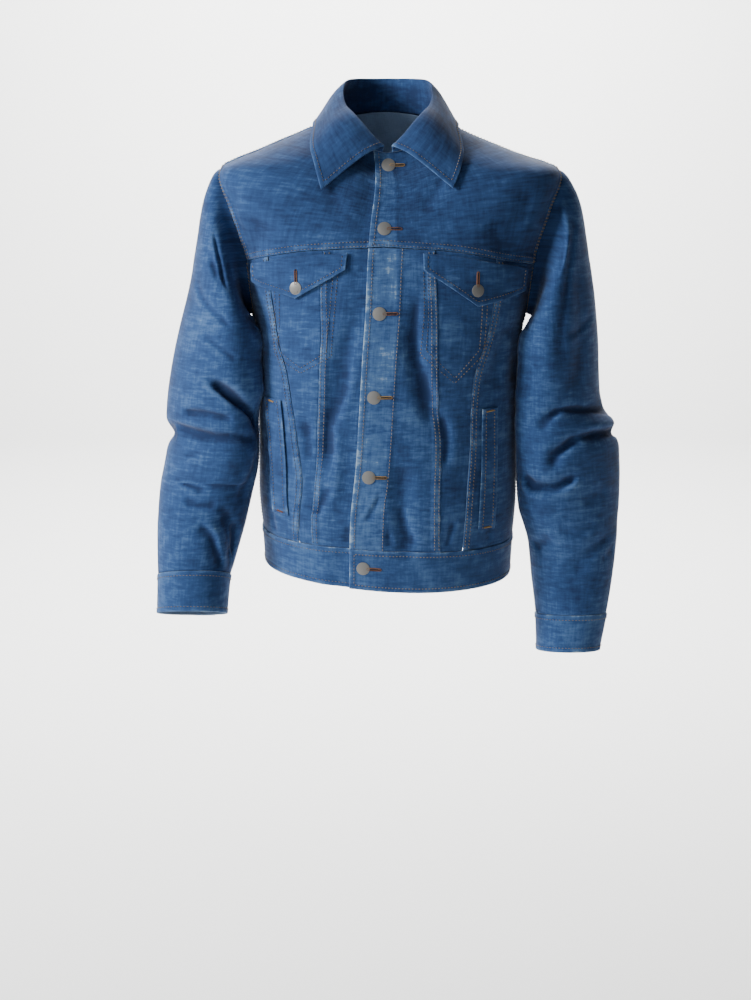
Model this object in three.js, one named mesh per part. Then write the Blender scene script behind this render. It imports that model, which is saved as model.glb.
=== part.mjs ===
// A denim jacket as it hangs when worn: hollow, buttoned, collar folded down, arms beside the body.
// Millimetres, +Z up, front towards -Y, the wearer's left towards +X. The origin lies between the shoulders.
import * as THREE from "three";

// Rows of a table of sizes, each an object with the named columns.
function table(names, ...rows) {
  return rows.map((row) => Object.fromEntries(names.split(" ").map((name, i) => [name, row[i]])));
}

// Driving sizes
const CLOTH = 1.6; // one layer of denim
const BAND_CLOTH = 3.0; // folded denim of the waistband and cuffs
const FLAP_CLOTH = 1.8;
const WELT_CLOTH = 1.4;
const POCKET_CLOTH = 1.0; // lighter cloth of the pocket bags inside
const COLLAR_CLOTH = 2.2;
const SEAM_GAP = 0.3; // between neighbouring pieces
const SLEEVE_GAP = 1; // between the two pieces of a sleeve, which bend sharply under the arm
const ADD_ON_GAP = 0.9; // between a panel and what lies along it
const BAND_RAISE = 0.8; // the waistband and cuffs stand this far out
const BUTTON_GAP = 0.5; // under a button's shank
const LAP = 17; // each front reaches this far past the line of buttons
const UNDERLAP = 2.6; // how far the right front dips where it runs under the left one
const UNDERLAP_RAMP = 14; // degrees over which it dips
const BAND_TOP = 52; // height of the waistband
const NECK_RISE = 625; // body length from hem to neck seam, measured up the front
const BUTTON_RADIUS = 8.5;
const FLAP_BUTTON_RADIUS = 7.6;
const CUFF_BUTTON_RADIUS = 7.6;

// Torso rings from the hem up. rise is the length up the front, front/side/back are heights,
// half is half the width, deepFront and deepBack the depths from the ring's own middle.
const BODY = table(
  "rise front side back half deepFront deepBack middle lean turn square sway",
  [0, -575, -569, -572, 164, 122, 114, 0, -2, -15, 2.3, 8],
  [52, -520, -519, -520, 167, 124, 116, 0, -2, -14.5, 2.3, 6],
  [100, -474, -475, -474, 170, 127, 118, 0, -2, -13.5, 2.3, 4],
  [160, -414, -415, -414, 170, 124, 117, 0, -2, -11, 2.3, 2],
  [240, -336, -338, -336, 170, 121, 118, 0, -2, -9, 2.3, 0],
  [310, -266, -272, -266, 171, 122, 122, 0, -1, -7.5, 2.35, 0],
  [355, -218, -226, -216, 176, 119, 123, 0, 0, -6.5, 2.35, 0],
  [425, -150, -152, -142, 190, 108, 121, 0, 0, -5.5, 2.5, 0],
  [475, -108, -92, -84, 207, 93, 112, 0, 0, -4, 3, 0],
  [515, -82, -49, -47, 214, 82, 100, 1, 0, -2, 3.1, 1],
  [550, -62, -27, -19, 165, 76, 88, 3, 0, -1, 2.6, 3],
  [590, -46, -7, 2, 115, 68, 78, 6, -2, 0, 2, 3],
  [625, -26, 12, 22, 72, 62, 66, 8, -4, 0, 2, 1],
);

// Sleeve rings from the armhole down. along is the length down the outer line, outX and outZ its place,
// inX and inZ the inner line's, middle the ring's place in depth and deep half its depth.
// The inner line lies further forward than the outer one by skew.
const RIGHT_SLEEVE = table(
  "along outX outZ inX inZ middle deep skew",
  [0, 214, -49, 182, -232, 1, 44, 0],
  [16, 224, -54, 184, -236, 1, 47, 4],
  [41, 234, -73, 183, -241, 1, 52, 18],
  [75, 242, -105, 177.5, -246, 1, 57, 32],
  [114, 249, -143, 173, -253, 1, 61, 40],
  [168, 259, -196, 170.5, -268, 1, 62, 44],
  [229, 275, -255, 170, -295, 1, 61, 46],
  [290, 288, -315, 169.5, -330, 0, 60, 46],
  [345, 294, -367, 169.5, -373, -3, 59, 44],
  [367, 290, -391, 169.5, -393, -7, 58, 42],
  [388, 294, -411, 170, -412, -12, 57, 37],
  [410, 298, -432, 172.5, -433, -17, 56, 30],
  [432, 301.5, -452, 177.5, -453, -23, 55, 22],
  [486, 304, -499, 189, -501, -46, 51, 6],
  [540, 303, -550, 203, -549, -69, 45, 0],
  [556, 302, -565, 207.5, -564, -76, 41, 0],
  [606, 302, -612, 212, -612, -95, 38, 0],
);
const LEFT_SLEEVE = table(
  "along outX outZ inX inZ middle deep skew",
  [0, 214, -49, 182, -232, 1, 44, 0],
  [16, 224, -54, 184, -236, 1, 47, 4],
  [41, 237, -74, 183, -241, 1, 52, 18],
  [75, 247, -105, 177, -246, 1, 57, 32],
  [114, 254, -143, 171.5, -253, 1, 61, 40],
  [168, 264, -196, 168.5, -268, 1, 62, 44],
  [229, 271, -255, 167, -295, 1, 61, 46],
  [290, 275, -315, 166, -330, 1, 60, 46],
  [325, 280, -347, 166, -352, 1, 60, 46],
  [362, 299, -378, 165.5, -384, 0, 60, 46],
  [410, 306, -425, 165, -427, -2, 58, 44],
  [466, 306, -480, 169.5, -481, -9, 54, 30],
  [490, 304, -504, 176.5, -505, -14, 52, 20],
  [517, 303, -530, 184, -531, -19, 50, 8],
  [568, 298, -580, 190, -580, -27, 45, 0],
  [618, 291, -628, 196, -628, -36, 41, 0],
  [669, 281, -678, 198, -678, -46, 38, 0],
);
const SLEEVE_SQUARE = 2.15;
const SLEEVE_JOIN = 70; // the sleeve leaves the armhole's own shape over this length
const HEAD_CLEAR = 5; // and there it stands this far outward
const ARMPIT_CLEAR = 10; // and under the arm this far straight off the torso
const ARMPIT_START = 75; // degrees round from the shoulder point where the underarm begins
const ARMPIT_SPREAD = 60; // and the degrees over which it takes over
const CUFF_LENGTH = 50;

// Largest folds. On the torso a place is degrees from the buttons and rise, on a sleeve degrees from
// its outer line (front is positive) and the length along. bow curves the fold sideways.
const BODY_FOLDS = table(
  "turn0 rise0 turn1 rise1 bow width depth",
  [-15, 350, -25, 150, 6, 13, -6],
  [-40, 240, -30, 90, -5, 12, -3],
  [20, 350, 38, 215, 8, 13, -6],
  [18, 170, 26, 40, 0, 14, -5],
  [74, 345, 66, 260, 5, 13, -4],
  [62, 470, 72, 410, 4, 14, -5],
  [-62, 470, -72, 410, -4, 14, -4],
  [130, 330, 150, 110, 8, 16, -6],
  [228, 330, 208, 120, -8, 16, -6],
  [172, 250, 186, 80, 6, 16, -4],
  [124, 380, 137, 325, 4, 14, -4],
  [238, 380, 225, 325, -4, 14, -4],
);
const RIGHT_SLEEVE_FOLDS = table(
  "turn0 along0 turn1 along1 bow width depth",
  [92, 275, 172, 352, 6, 9, -9],
  [60, 331, 130, 345, -3, 7, -4],
  [-25, 374, 60, 367, 3, 9, -7],
  [60, 367, 175, 372, -14, 9, -7],
  [118, 478, 158, 535, 4, 9, -6],
  [68, 462, 112, 466, -3, 6, -3],
  [112, 50, 62, 110, 6, 13, -6],
  [150, 60, 158, 130, 0, 10, -5],
  [-50, 300, -140, 365, -4, 12, -6],
  [-60, 430, -150, 405, 5, 9, -6],
  [-45, 478, -115, 522, 4, 8, -4],
);
const LEFT_SLEEVE_FOLDS = table(
  "turn0 along0 turn1 along1 bow width depth",
  [-17, 349, 100, 328, -6, 10, -7],
  [100, 328, 140, 360, -5, 9, -5],
  [-25, 381, 85, 376, 5, 9, -8],
  [85, 376, 118, 424, -7, 8, -7],
  [86, 428, 158, 436, 14, 9, -7],
  [60, 110, 75, 300, -6, 14, -4],
  [150, 60, 158, 130, 0, 10, -5],
  [40, 500, 95, 560, 5, 12, -3],
  [-30, 360, -130, 395, -6, 9, -7],
  [-50, 440, -150, 430, 6, 9, -6],
);
const TORSO_MM_PER_DEGREE = 2.3;
const SLEEVE_MM_PER_DEGREE = 1.0;

// Front seams, degrees from the line of buttons
const FRONT_SEAMS = [
  { rise: 52, leftInner: 44, leftOuter: 56, rightInner: -28, rightOuter: -35 },
  { rise: 130, leftInner: 41, leftOuter: 55, rightInner: -29, rightOuter: -35 },
  { rise: 190, leftInner: 40, leftOuter: 55, rightInner: -30.5, rightOuter: -40 },
  { rise: 240, leftInner: 38, leftOuter: 54.5, rightInner: -30.5, rightOuter: -44 },
  { rise: 285, leftInner: 35.5, leftOuter: 55, rightInner: -30.5, rightOuter: -47.5 },
  { rise: 325, leftInner: 34, leftOuter: 59, rightInner: -30.5, rightOuter: -53 },
  { rise: 380, leftInner: 33, leftOuter: 62, rightInner: -33, rightOuter: -57 },
  { rise: 440, leftInner: 33, leftOuter: 63, rightInner: -34, rightOuter: -58 },
];
// The front yoke seam falls from the buttons to the armhole, the back one is nearly level.
const FRONT_YOKE_SEAM = [
  { turn: 0, rise: 438 },
  { turn: 25, rise: 435 },
  { turn: 45, rise: 431 },
  { turn: 65, rise: 421 },
  { turn: 90, rise: 410 },
];
const UNDER_YOKE = 430; // a rise at which the front seams run up to it
const BACK_YOKE_RISE = 448;

const ARMHOLE = { rise: 432, halfHeight: 83, frontDegrees: 11.5, backDegrees: 16 };

const BUTTON_RISES = { neck: 599, yoke: 464, chest: 355, waist: 254, belly: 150, band: 28 };

const FLAPS = {
  left: { inner: 26, outer: 78, innerDrop: 26, outerDrop: 32, point: 0.52, pointDrop: 62, button: 385 },
  right: { inner: -21, outer: -67.5, innerDrop: 26, outerDrop: 26, point: 0.5, pointDrop: 56, button: 388 },
};
const FLAP_TOP_GAP = 5; // below the yoke seam
const FLAP_STAND = 1.6; // the end by the armhole stands off this much more
const CHEST_POCKETS = {
  left: { inner: 26, outer: 58, top: 425, side: 308, point: 272, pointShare: 0.58 },
  right: { inner: -25, outer: -55, top: 425, side: 306, point: 284, pointShare: 0.5 },
};
const WELTS = {
  left: { top: 236, bottom: 78, innerTop: 60, innerBottom: 62.5, outerTop: 69, outerBottom: 72.5 },
  right: { top: 246, bottom: 90, innerTop: -50, innerBottom: -40, outerTop: -62, outerBottom: -50 },
};

// The collar: the neck seam, the fold line above it, and the outer edge lying on the shoulders.
const COLLAR_FOLD = { half: 56, deepFront: 66, deepBack: 64, middle: 8, lean: -3 };
// Height of the fold line, from the ends in front to the middle of the back
const COLLAR_FOLD_RISE = table(
  "turn level",
  [0, -24],
  [17, -5],
  [30, 10],
  [45, 22],
  [65, 31],
  [90, 46],
  [107, 58],
  [130, 63],
  [180, 64],
);
const COLLAR_EDGE = [
  { share: 0, turn: 45.5, rise: 511 },
  { share: 0.1, turn: 56, rise: 563 },
  { share: 0.2, turn: 76, rise: 607 },
  { share: 0.3, turn: 108, rise: 608 },
  { share: 0.5, turn: 180, rise: 584 },
  { share: 0.7, turn: 252, rise: 604 },
  { share: 0.8, turn: 282, rise: 603 },
  { share: 0.9, turn: 304, rise: 558 },
  { share: 1, turn: 316.5, rise: 506 },
];
const COLLAR_LIFT = 4.5; // the edge lies this far above the shoulders
const ROLL_SHARE = 0.3; // the collar is fullest this far down from the fold
const ROLL_OUT = 0.05; // by these shares of its depth, outwards and upwards
const ROLL_UP = 0.05;
const COLLAR_START = 5; // degrees from the middle of the neck to each end

const DEGREE = Math.PI / 180;
const lerp = (a, b, t) => a + (b - a) * t;
const clamp = (x, low, high) => Math.min(high, Math.max(low, x));
const easeShare = (x) => {
  const t = clamp(x, 0, 1);
  return t * t * (3 - 2 * t);
};

// A smooth curve through one column of a table, read at a place along another.
function column(rows, key, name, at) {
  const last = rows.length - 1;
  const x = clamp(at, rows[0][key], rows[last][key]);
  let i = 0;
  while (i < last - 1 && x >= rows[i + 1][key]) i++;
  const slope = (k) => {
    const low = Math.max(k - 1, 0);
    const high = Math.min(k + 1, last);
    return (rows[high][name] - rows[low][name]) / (rows[high][key] - rows[low][key]);
  };
  const span = rows[i + 1][key] - rows[i][key];
  const t = (x - rows[i][key]) / span;
  const start = (1 + 2 * t) * (1 - t) ** 2 * rows[i][name] + t * (1 - t) ** 2 * span * slope(i);
  const end = t * t * (3 - 2 * t) * rows[i + 1][name] + t * t * (t - 1) * span * slope(i + 1);
  return start + end;
}

// How far the folds move a place in or out. x and y are millimetres on the unrolled cloth.
function foldDepth(folds, x, y) {
  let depth = 0;
  for (const fold of folds) {
    const dx = fold.x1 - fold.x0;
    const dy = fold.y1 - fold.y0;
    const length = Math.hypot(dx, dy);
    const t = ((x - fold.x0) * dx + (y - fold.y0) * dy) / length ** 2;
    const inside = clamp(t, 0, 1);
    const bow = fold.bow * 4 * inside * (1 - inside);
    const across = ((x - fold.x0) * dy - (y - fold.y0) * dx) / length - bow;
    const past = (t - inside) * length;
    const fade = Math.min(easeShare(inside / 0.25 + 0.25), easeShare((1 - inside) / 0.25 + 0.25));
    depth += fold.depth * fade * Math.exp(-(across ** 2 + past ** 2) / fold.width ** 2);
  }
  return depth;
}
const unrolled = (folds, degreeLength, row) =>
  folds.map((fold) => ({
    ...fold,
    x0: fold.turn0 * degreeLength,
    x1: fold.turn1 * degreeLength,
    y0: fold[row + "0"],
    y1: fold[row + "1"],
  }));
const TORSO_FOLDS = unrolled(BODY_FOLDS, TORSO_MM_PER_DEGREE, "rise");
const sleeveFolds = (folds) => unrolled(folds, SLEEVE_MM_PER_DEGREE, "along");
const SLEEVES = {
  left: { side: 1, rings: LEFT_SLEEVE, folds: sleeveFolds(LEFT_SLEEVE_FOLDS) },
  right: { side: -1, rings: RIGHT_SLEEVE, folds: sleeveFolds(RIGHT_SLEEVE_FOLDS) },
};

const torso = (name, rise) => column(BODY, "rise", name, rise);

// A point of the torso's outer cloth: degrees round from the line of buttons, and rise.
function torsoPoint(turn, rise) {
  const angle = (turn + torso("turn", rise)) * DEGREE;
  const s = Math.sin(angle);
  const c = Math.cos(angle);
  const depth = c >= 0 ? torso("deepFront", rise) : torso("deepBack", rise);
  const square = torso("square", rise);
  const ring = (Math.abs(s) / torso("half", rise)) ** square + (Math.abs(c) / depth) ** square;
  const wrapped = ((((turn + 100) % 360) + 360) % 360) - 100;
  const radius = ring ** (-1 / square) + foldDepth(TORSO_FOLDS, wrapped * TORSO_MM_PER_DEGREE, rise);
  const ahead = c > 0 ? c * c : 0;
  const behind = c < 0 ? c * c : 0;
  const level = ahead * torso("front", rise) + s * s * torso("side", rise) + behind * torso("back", rise);
  return new THREE.Vector3(
    torso("lean", rise) + radius * s,
    torso("middle", rise) - radius * c,
    level - s * torso("sway", rise),
  );
}

// Degrees from the buttons to the torso's side, where the side and shoulder seams run.
const sideTurn = (side, rise) => side * 90 - torso("turn", rise);

// The armhole seam: round is degrees from the shoulder point, positive over the front.
function armholePlace(side, round) {
  const rise = ARMHOLE.rise + ARMHOLE.halfHeight * Math.cos(round * DEGREE);
  const reach = round >= 0 ? ARMHOLE.frontDegrees : ARMHOLE.backDegrees;
  return [sideTurn(side, rise) - side * reach * Math.sin(round * DEGREE), rise];
}

const sleeveRing = (sleeve, along) => {
  const read = (name) => column(sleeve.rings, "along", name, along);
  const outer = new THREE.Vector3(sleeve.side * read("outX"), read("middle"), read("outZ"));
  const inner = new THREE.Vector3(sleeve.side * read("inX"), read("middle") - read("skew"), read("inZ"));
  const reach = outer.clone().sub(inner).multiplyScalar(0.5);
  return { centre: outer.lerp(inner, 0.5), reach, deep: read("deep") };
};

// A point of a sleeve's outer cloth: degrees round from its outer line, positive over the front.
function sleevePoint(sleeve, turn, along) {
  const ring = sleeveRing(sleeve, along);
  const step = 6;
  const ahead = sleeveRing(sleeve, along + step).centre.sub(sleeveRing(sleeve, along - step).centre);
  const level = ring.reach.clone().setY(0);
  const forward = ahead.cross(level).multiplyScalar(sleeve.side).setX(0).normalize();
  if (forward.y > 0) forward.negate();
  const c = Math.cos(turn * DEGREE);
  const s = Math.sin(turn * DEGREE);
  const size = (Math.abs(c) ** SLEEVE_SQUARE + Math.abs(s) ** SLEEVE_SQUARE) ** (-1 / SLEEVE_SQUARE);
  const spoke = ring.reach.clone().multiplyScalar(c * size).addScaledVector(forward, s * size * ring.deep);
  const wrapped = ((((turn + 180) % 360) + 360) % 360) - 180;
  const fold = foldDepth(sleeve.folds, wrapped * SLEEVE_MM_PER_DEGREE, along);
  spoke.setLength(spoke.length() + fold);
  const free = ring.centre.add(spoke);
  const seam = armholePlace(sleeve.side, wrapped);
  const under = easeShare((Math.abs(wrapped) - ARMPIT_START) / ARMPIT_SPREAD);
  const clear = 2 * SEAM_GAP + lerp(HEAD_CLEAR, ARMPIT_CLEAR, under) * easeShare((2 * along) / SLEEVE_JOIN);
  const { point, du, dv, sense } = TORSO_SURFACE;
  const outward = new THREE.Vector3(sleeve.side, 0, 0).lerp(normalOf(point, ...seam, du, dv, sense), under);
  const joined = torsoPoint(...seam).addScaledVector(outward, clear);
  return joined.lerp(free, easeShare(along / SLEEVE_JOIN));
}

// The outward direction of a surface, from its points nearby. sense is 1 or -1.
function normalOf(point, u, v, du, dv, sense) {
  const across = point(u + du, v).sub(point(u - du, v));
  const up = point(u, v + dv).sub(point(u, v - dv));
  return across.cross(up).multiplyScalar(sense).normalize();
}
const TORSO_SURFACE = { point: torsoPoint, du: 0.6, dv: 1.5, sense: 1 };
const sleeveSurface = (sleeve) => ({
  point: (turn, along) => sleevePoint(sleeve, turn, along),
  du: 1.5,
  dv: 2,
  sense: sleeve.side,
});

// A closed wall from a grid of places. place(s, t) gives the two coordinates on the surface, lift the
// height of the outer face above it, thick the wall's thickness.
function wall(surface, place, columns, rows, { lift = () => 0, thick = CLOTH, inset = SEAM_GAP / 2 } = {}) {
  const raw = (s, t) => surface.point(...place(s, t));
  const width = raw(0.1, 0.5).distanceTo(raw(0.5, 0.5)) + raw(0.5, 0.5).distanceTo(raw(0.9, 0.5));
  const height = raw(0.5, 0.1).distanceTo(raw(0.5, 0.5)) + raw(0.5, 0.5).distanceTo(raw(0.5, 0.9));
  const edgeS = inset / (width / 0.8);
  const edgeT = inset / (height / 0.8);
  const outer = [];
  const inner = [];
  for (let j = 0; j <= rows; j++) {
    for (let i = 0; i <= columns; i++) {
      const s = lerp(edgeS, 1 - edgeS, i / columns);
      const t = lerp(edgeT, 1 - edgeT, j / rows);
      const [u, v] = place(s, t);
      const normal = normalOf(surface.point, u, v, surface.du, surface.dv, surface.sense);
      const face = surface.point(u, v).addScaledVector(normal, lift(s, t, u, v));
      outer.push(face);
      inner.push(face.clone().addScaledVector(normal, -thick));
    }
  }
  return closedGrid(outer, inner, columns, rows);
}

// Joins two grids of points into one closed body with its faces out.
function closedGrid(outer, inner, columns, rows) {
  const count = outer.length;
  const at = (i, j) => j * (columns + 1) + i;
  const index = [];
  const quad = (a, b, c, d) => index.push(a, b, c, a, c, d);
  for (let j = 0; j < rows; j++) {
    for (let i = 0; i < columns; i++) {
      quad(at(i, j), at(i + 1, j), at(i + 1, j + 1), at(i, j + 1));
      quad(count + at(i, j), count + at(i, j + 1), count + at(i + 1, j + 1), count + at(i + 1, j));
    }
  }
  for (let i = 0; i < columns; i++) {
    quad(at(i + 1, 0), at(i, 0), count + at(i, 0), count + at(i + 1, 0));
    quad(at(i, rows), at(i + 1, rows), count + at(i + 1, rows), count + at(i, rows));
  }
  for (let j = 0; j < rows; j++) {
    quad(at(0, j), at(0, j + 1), count + at(0, j + 1), count + at(0, j));
    quad(at(columns, j + 1), at(columns, j), count + at(columns, j), count + at(columns, j + 1));
  }
  const points = [...outer, ...inner];
  if (volumeOf(points, index) < 0) {
    for (let k = 0; k < index.length; k += 3) [index[k], index[k + 1]] = [index[k + 1], index[k]];
  }
  const geometry = new THREE.BufferGeometry().setFromPoints(points);
  geometry.setIndex(index);
  geometry.computeVertexNormals();
  return geometry;
}

function volumeOf(points, index) {
  let volume = 0;
  for (let k = 0; k < index.length; k += 3) {
    const [a, b, c] = [points[index[k]], points[index[k + 1]], points[index[k + 2]]];
    volume += a.dot(b.clone().cross(c)) / 6;
  }
  return volume;
}

// A place inside four edges, each a function of a share from 0 to 1 that gives two coordinates.
function inside(bottom, top, left, right) {
  const corners = [bottom(0), bottom(1), top(0), top(1)];
  return (s, t) =>
    [0, 1].map((k) => {
      const straight = lerp(lerp(corners[0][k], corners[1][k], s), lerp(corners[2][k], corners[3][k], s), t);
      return lerp(bottom(s)[k], top(s)[k], t) + lerp(left(t)[k], right(t)[k], s) - straight;
    });
}
// Several edges end to end, each taking its share of the whole.
const chain = (...parts) => (t) => {
  let from = 0;
  for (const [share, edge] of parts) {
    if (t <= from + share || share + from > 0.9999) return edge(clamp((t - from) / share, 0, 1));
    from += share;
  }
  return parts[parts.length - 1][1](1);
};

const yokeRise = (turn) => column(FRONT_YOKE_SEAM, "turn", "rise", Math.abs(turn));
const seamTurn = (name, rise) => column(FRONT_SEAMS, "rise", name, rise);
// The front edge: the left front laps over the line of buttons, the right one runs under it.
const edgeTurn = (side, rise) => (-side * LAP) / torso("deepFront", rise) / DEGREE;

// Where the front yoke seam meets the armhole, as degrees round the armhole.
function yokeArmholeRound(side) {
  let low = 30;
  let high = 150;
  for (let k = 0; k < 30; k++) {
    const round = (low + high) / 2;
    const [turn, rise] = armholePlace(side, round);
    if (rise > yokeRise(turn)) low = round;
    else high = round;
  }
  return low;
}
const backArmholeRound = -Math.acos((BACK_YOKE_RISE - ARMHOLE.rise) / ARMHOLE.halfHeight) / DEGREE;

// The right front lies lower where the left front covers it.
function underlap(side) {
  if (side > 0) return () => 0;
  return (s, t, turn, rise) => {
    const cover = edgeTurn(1, rise);
    return -UNDERLAP * easeShare((turn - cover + UNDERLAP_RAMP) / UNDERLAP_RAMP + 0.1);
  };
}

const DENIM = new THREE.MeshStandardMaterial({ color: 0x2f4a7a, roughness: 0.9, metalness: 0 });
const POCKETING = new THREE.MeshStandardMaterial({ color: 0x30415f, roughness: 0.95, metalness: 0 });
const METAL = new THREE.MeshStandardMaterial({ color: 0xb9b6a8, roughness: 0.35, metalness: 1 });

const jacket = new THREE.Group();
function add(name, geometry, material = DENIM) {
  const mesh = new THREE.Mesh(geometry, material);
  mesh.name = name;
  jacket.add(mesh);
  return mesh;
}

function frontYoke(name, side) {
  const meet = yokeArmholeRound(side);
  const seamEnd = armholePlace(side, meet);
  const bottom = (s) => {
    const turn = lerp(edgeTurn(side, yokeRise(0)), seamEnd[0], s);
    return [turn, yokeRise(turn)];
  };
  const neckTurn = sideTurn(side, NECK_RISE);
  const top = chain(
    [5 / 12, (s) => [lerp(edgeTurn(side, NECK_RISE), neckTurn, s), NECK_RISE]],
    [7 / 12, (s) => {
      const rise = lerp(NECK_RISE, ARMHOLE.rise + ARMHOLE.halfHeight, s);
      return [sideTurn(side, rise), rise];
    }],
  );
  const left = (t) => {
    const rise = lerp(yokeRise(edgeTurn(side, 438)), NECK_RISE, t);
    return [edgeTurn(side, rise), rise];
  };
  const right = (t) => armholePlace(side, lerp(meet, 0, t));
  const place = inside(bottom, top, left, right);
  add("front_yoke_" + name, wall(TORSO_SURFACE, place, 12, 11, { lift: underlap(side) }));
}

function frontPanels(name, side) {
  const strip = (low, high, columns, label) => {
    const place = (s, t) => {
      const rise = lerp(BAND_TOP, yokeRise(lerp(low(UNDER_YOKE), high(UNDER_YOKE), s)), t);
      return [lerp(low(rise), high(rise), s), rise];
    };
    add(label + name, wall(TORSO_SURFACE, place, columns, 16, { lift: underlap(side) }));
  };
  const inner = (rise) => seamTurn(name + "Inner", rise);
  const outer = (rise) => seamTurn(name + "Outer", rise);
  strip((rise) => edgeTurn(side, rise), inner, 10, "front_centre_");
  strip(inner, outer, 4, "front_middle_");

  const meet = yokeArmholeRound(side);
  const seamEnd = armholePlace(side, meet);
  const start = outer(yokeRise(outer(UNDER_YOKE)));
  const bottom = (s) => [lerp(outer(BAND_TOP), sideTurn(side, BAND_TOP), s), BAND_TOP];
  const top = chain(
    [3 / 8, (s) => {
      const turn = lerp(start, seamEnd[0], s);
      return [turn, yokeRise(turn)];
    }],
    [5 / 8, (s) => armholePlace(side, lerp(meet, 180, s))],
  );
  const left = (t) => {
    const rise = lerp(BAND_TOP, yokeRise(start), t);
    return [outer(rise), rise];
  };
  const right = (t) => {
    const rise = lerp(BAND_TOP, ARMHOLE.rise - ARMHOLE.halfHeight, t);
    return [sideTurn(side, rise), rise];
  };
  add("front_side_" + name, wall(TORSO_SURFACE, inside(bottom, top, left, right), 8, 16));
}

// Round the back, the wearer's right side is a full turn less its own angle.
const backTurn = (side, turn) => (side > 0 ? turn : turn + 360);

function backPieces() {
  const armpit = ARMHOLE.rise - ARMHOLE.halfHeight;
  const hole = (side, round) => {
    const [turn, rise] = armholePlace(side, round);
    return [backTurn(side, turn), rise];
  };
  const ends = [1, -1].map((which) => hole(which, backArmholeRound)[0]);
  const across = (s) => [lerp(...ends, s), BACK_YOKE_RISE];
  const side = (which) => (t) => {
    const rise = lerp(BAND_TOP, armpit, t);
    return [backTurn(which, sideTurn(which, rise)), rise];
  };
  const bottom = (s) => [lerp(side(1)(0)[0], side(-1)(0)[0], s), BAND_TOP];
  const top = chain(
    [0.25, (s) => hole(1, lerp(-180, backArmholeRound, s))],
    [0.5, across],
    [0.25, (s) => hole(-1, lerp(backArmholeRound, -180, s))],
  );
  add("back_panel", wall(TORSO_SURFACE, inside(bottom, top, side(1), side(-1)), 24, 15));

  const shoulder = ARMHOLE.rise + ARMHOLE.halfHeight;
  const seam = (which) => (s) => {
    const rise = lerp(shoulder, NECK_RISE, s);
    return [backTurn(which, sideTurn(which, rise)), rise];
  };
  const neck = (s) => [lerp(90, 270, s), NECK_RISE];
  const yokeTop = chain([0.3, seam(1)], [0.4, neck], [0.3, (s) => seam(-1)(1 - s)]);
  const left = (t) => hole(1, lerp(backArmholeRound, 0, t));
  const right = (t) => hole(-1, lerp(backArmholeRound, 0, t));
  add("back_yoke", wall(TORSO_SURFACE, inside(across, yokeTop, left, right), 20, 8));
}

function waistband() {
  const strip = (name, from, to, columns, lift) => {
    const place = (s, t) => {
      const rise = lerp(0, BAND_TOP, t);
      return [lerp(from(rise), to(rise), s), rise];
    };
    add("waistband_" + name, wall(TORSO_SURFACE, place, columns, 3, { lift, thick: BAND_CLOTH }));
  };
  const raised = () => BAND_RAISE;
  const under = (s, t, turn, rise) => {
    const cover = edgeTurn(1, rise) - UNDERLAP_RAMP;
    return BAND_RAISE - (BAND_CLOTH + 2 * SEAM_GAP) * easeShare((turn - cover) / UNDERLAP_RAMP + 0.1);
  };
  strip("left", (rise) => edgeTurn(1, rise), (rise) => sideTurn(1, rise), 12, raised);
  strip("right", (rise) => edgeTurn(-1, rise), (rise) => sideTurn(-1, rise), 12, under);
  strip("back", (rise) => sideTurn(1, rise), (rise) => sideTurn(-1, rise) + 360, 20, raised);
}

function sleeveAndCuff(name, sleeve) {
  const surface = sleeveSurface(sleeve);
  const end = sleeve.rings[sleeve.rings.length - 1].along;
  const cuffSeam = end - CUFF_LENGTH;
  const backSeam = -100;
  const underSeam = 165;
  const panel = (label, from, to, columns) => {
    const place = (s, t) => [lerp(from, to, s), lerp(cuffSeam, 0, t)];
    add("sleeve_" + label + name, wall(surface, place, columns, 24, { inset: SLEEVE_GAP / 2 }));
  };
  panel("top_", backSeam, underSeam, 18);
  panel("under_", underSeam, backSeam + 360, 9);
  const lapTurn = 22;
  const cuff = (s, t) => [lerp(backSeam - lapTurn, backSeam + 359, s), lerp(end, cuffSeam, t)];
  const over = (s, t, turn) => {
    const lapEnd = backSeam + 4;
    return BAND_RAISE + (BAND_CLOTH + 2 * SEAM_GAP) * (1 - easeShare((turn - lapEnd) / 14));
  };
  add("cuff_" + name, wall(surface, cuff, 30, 3, { lift: over, thick: BAND_CLOTH }));
  const buttonAt = [backSeam - lapTurn * 0.5, (end + cuffSeam) / 2];
  button("button_cuff_" + name, surface, buttonAt, CUFF_BUTTON_RADIUS, over(0, 0, buttonAt[0]));
}

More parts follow.
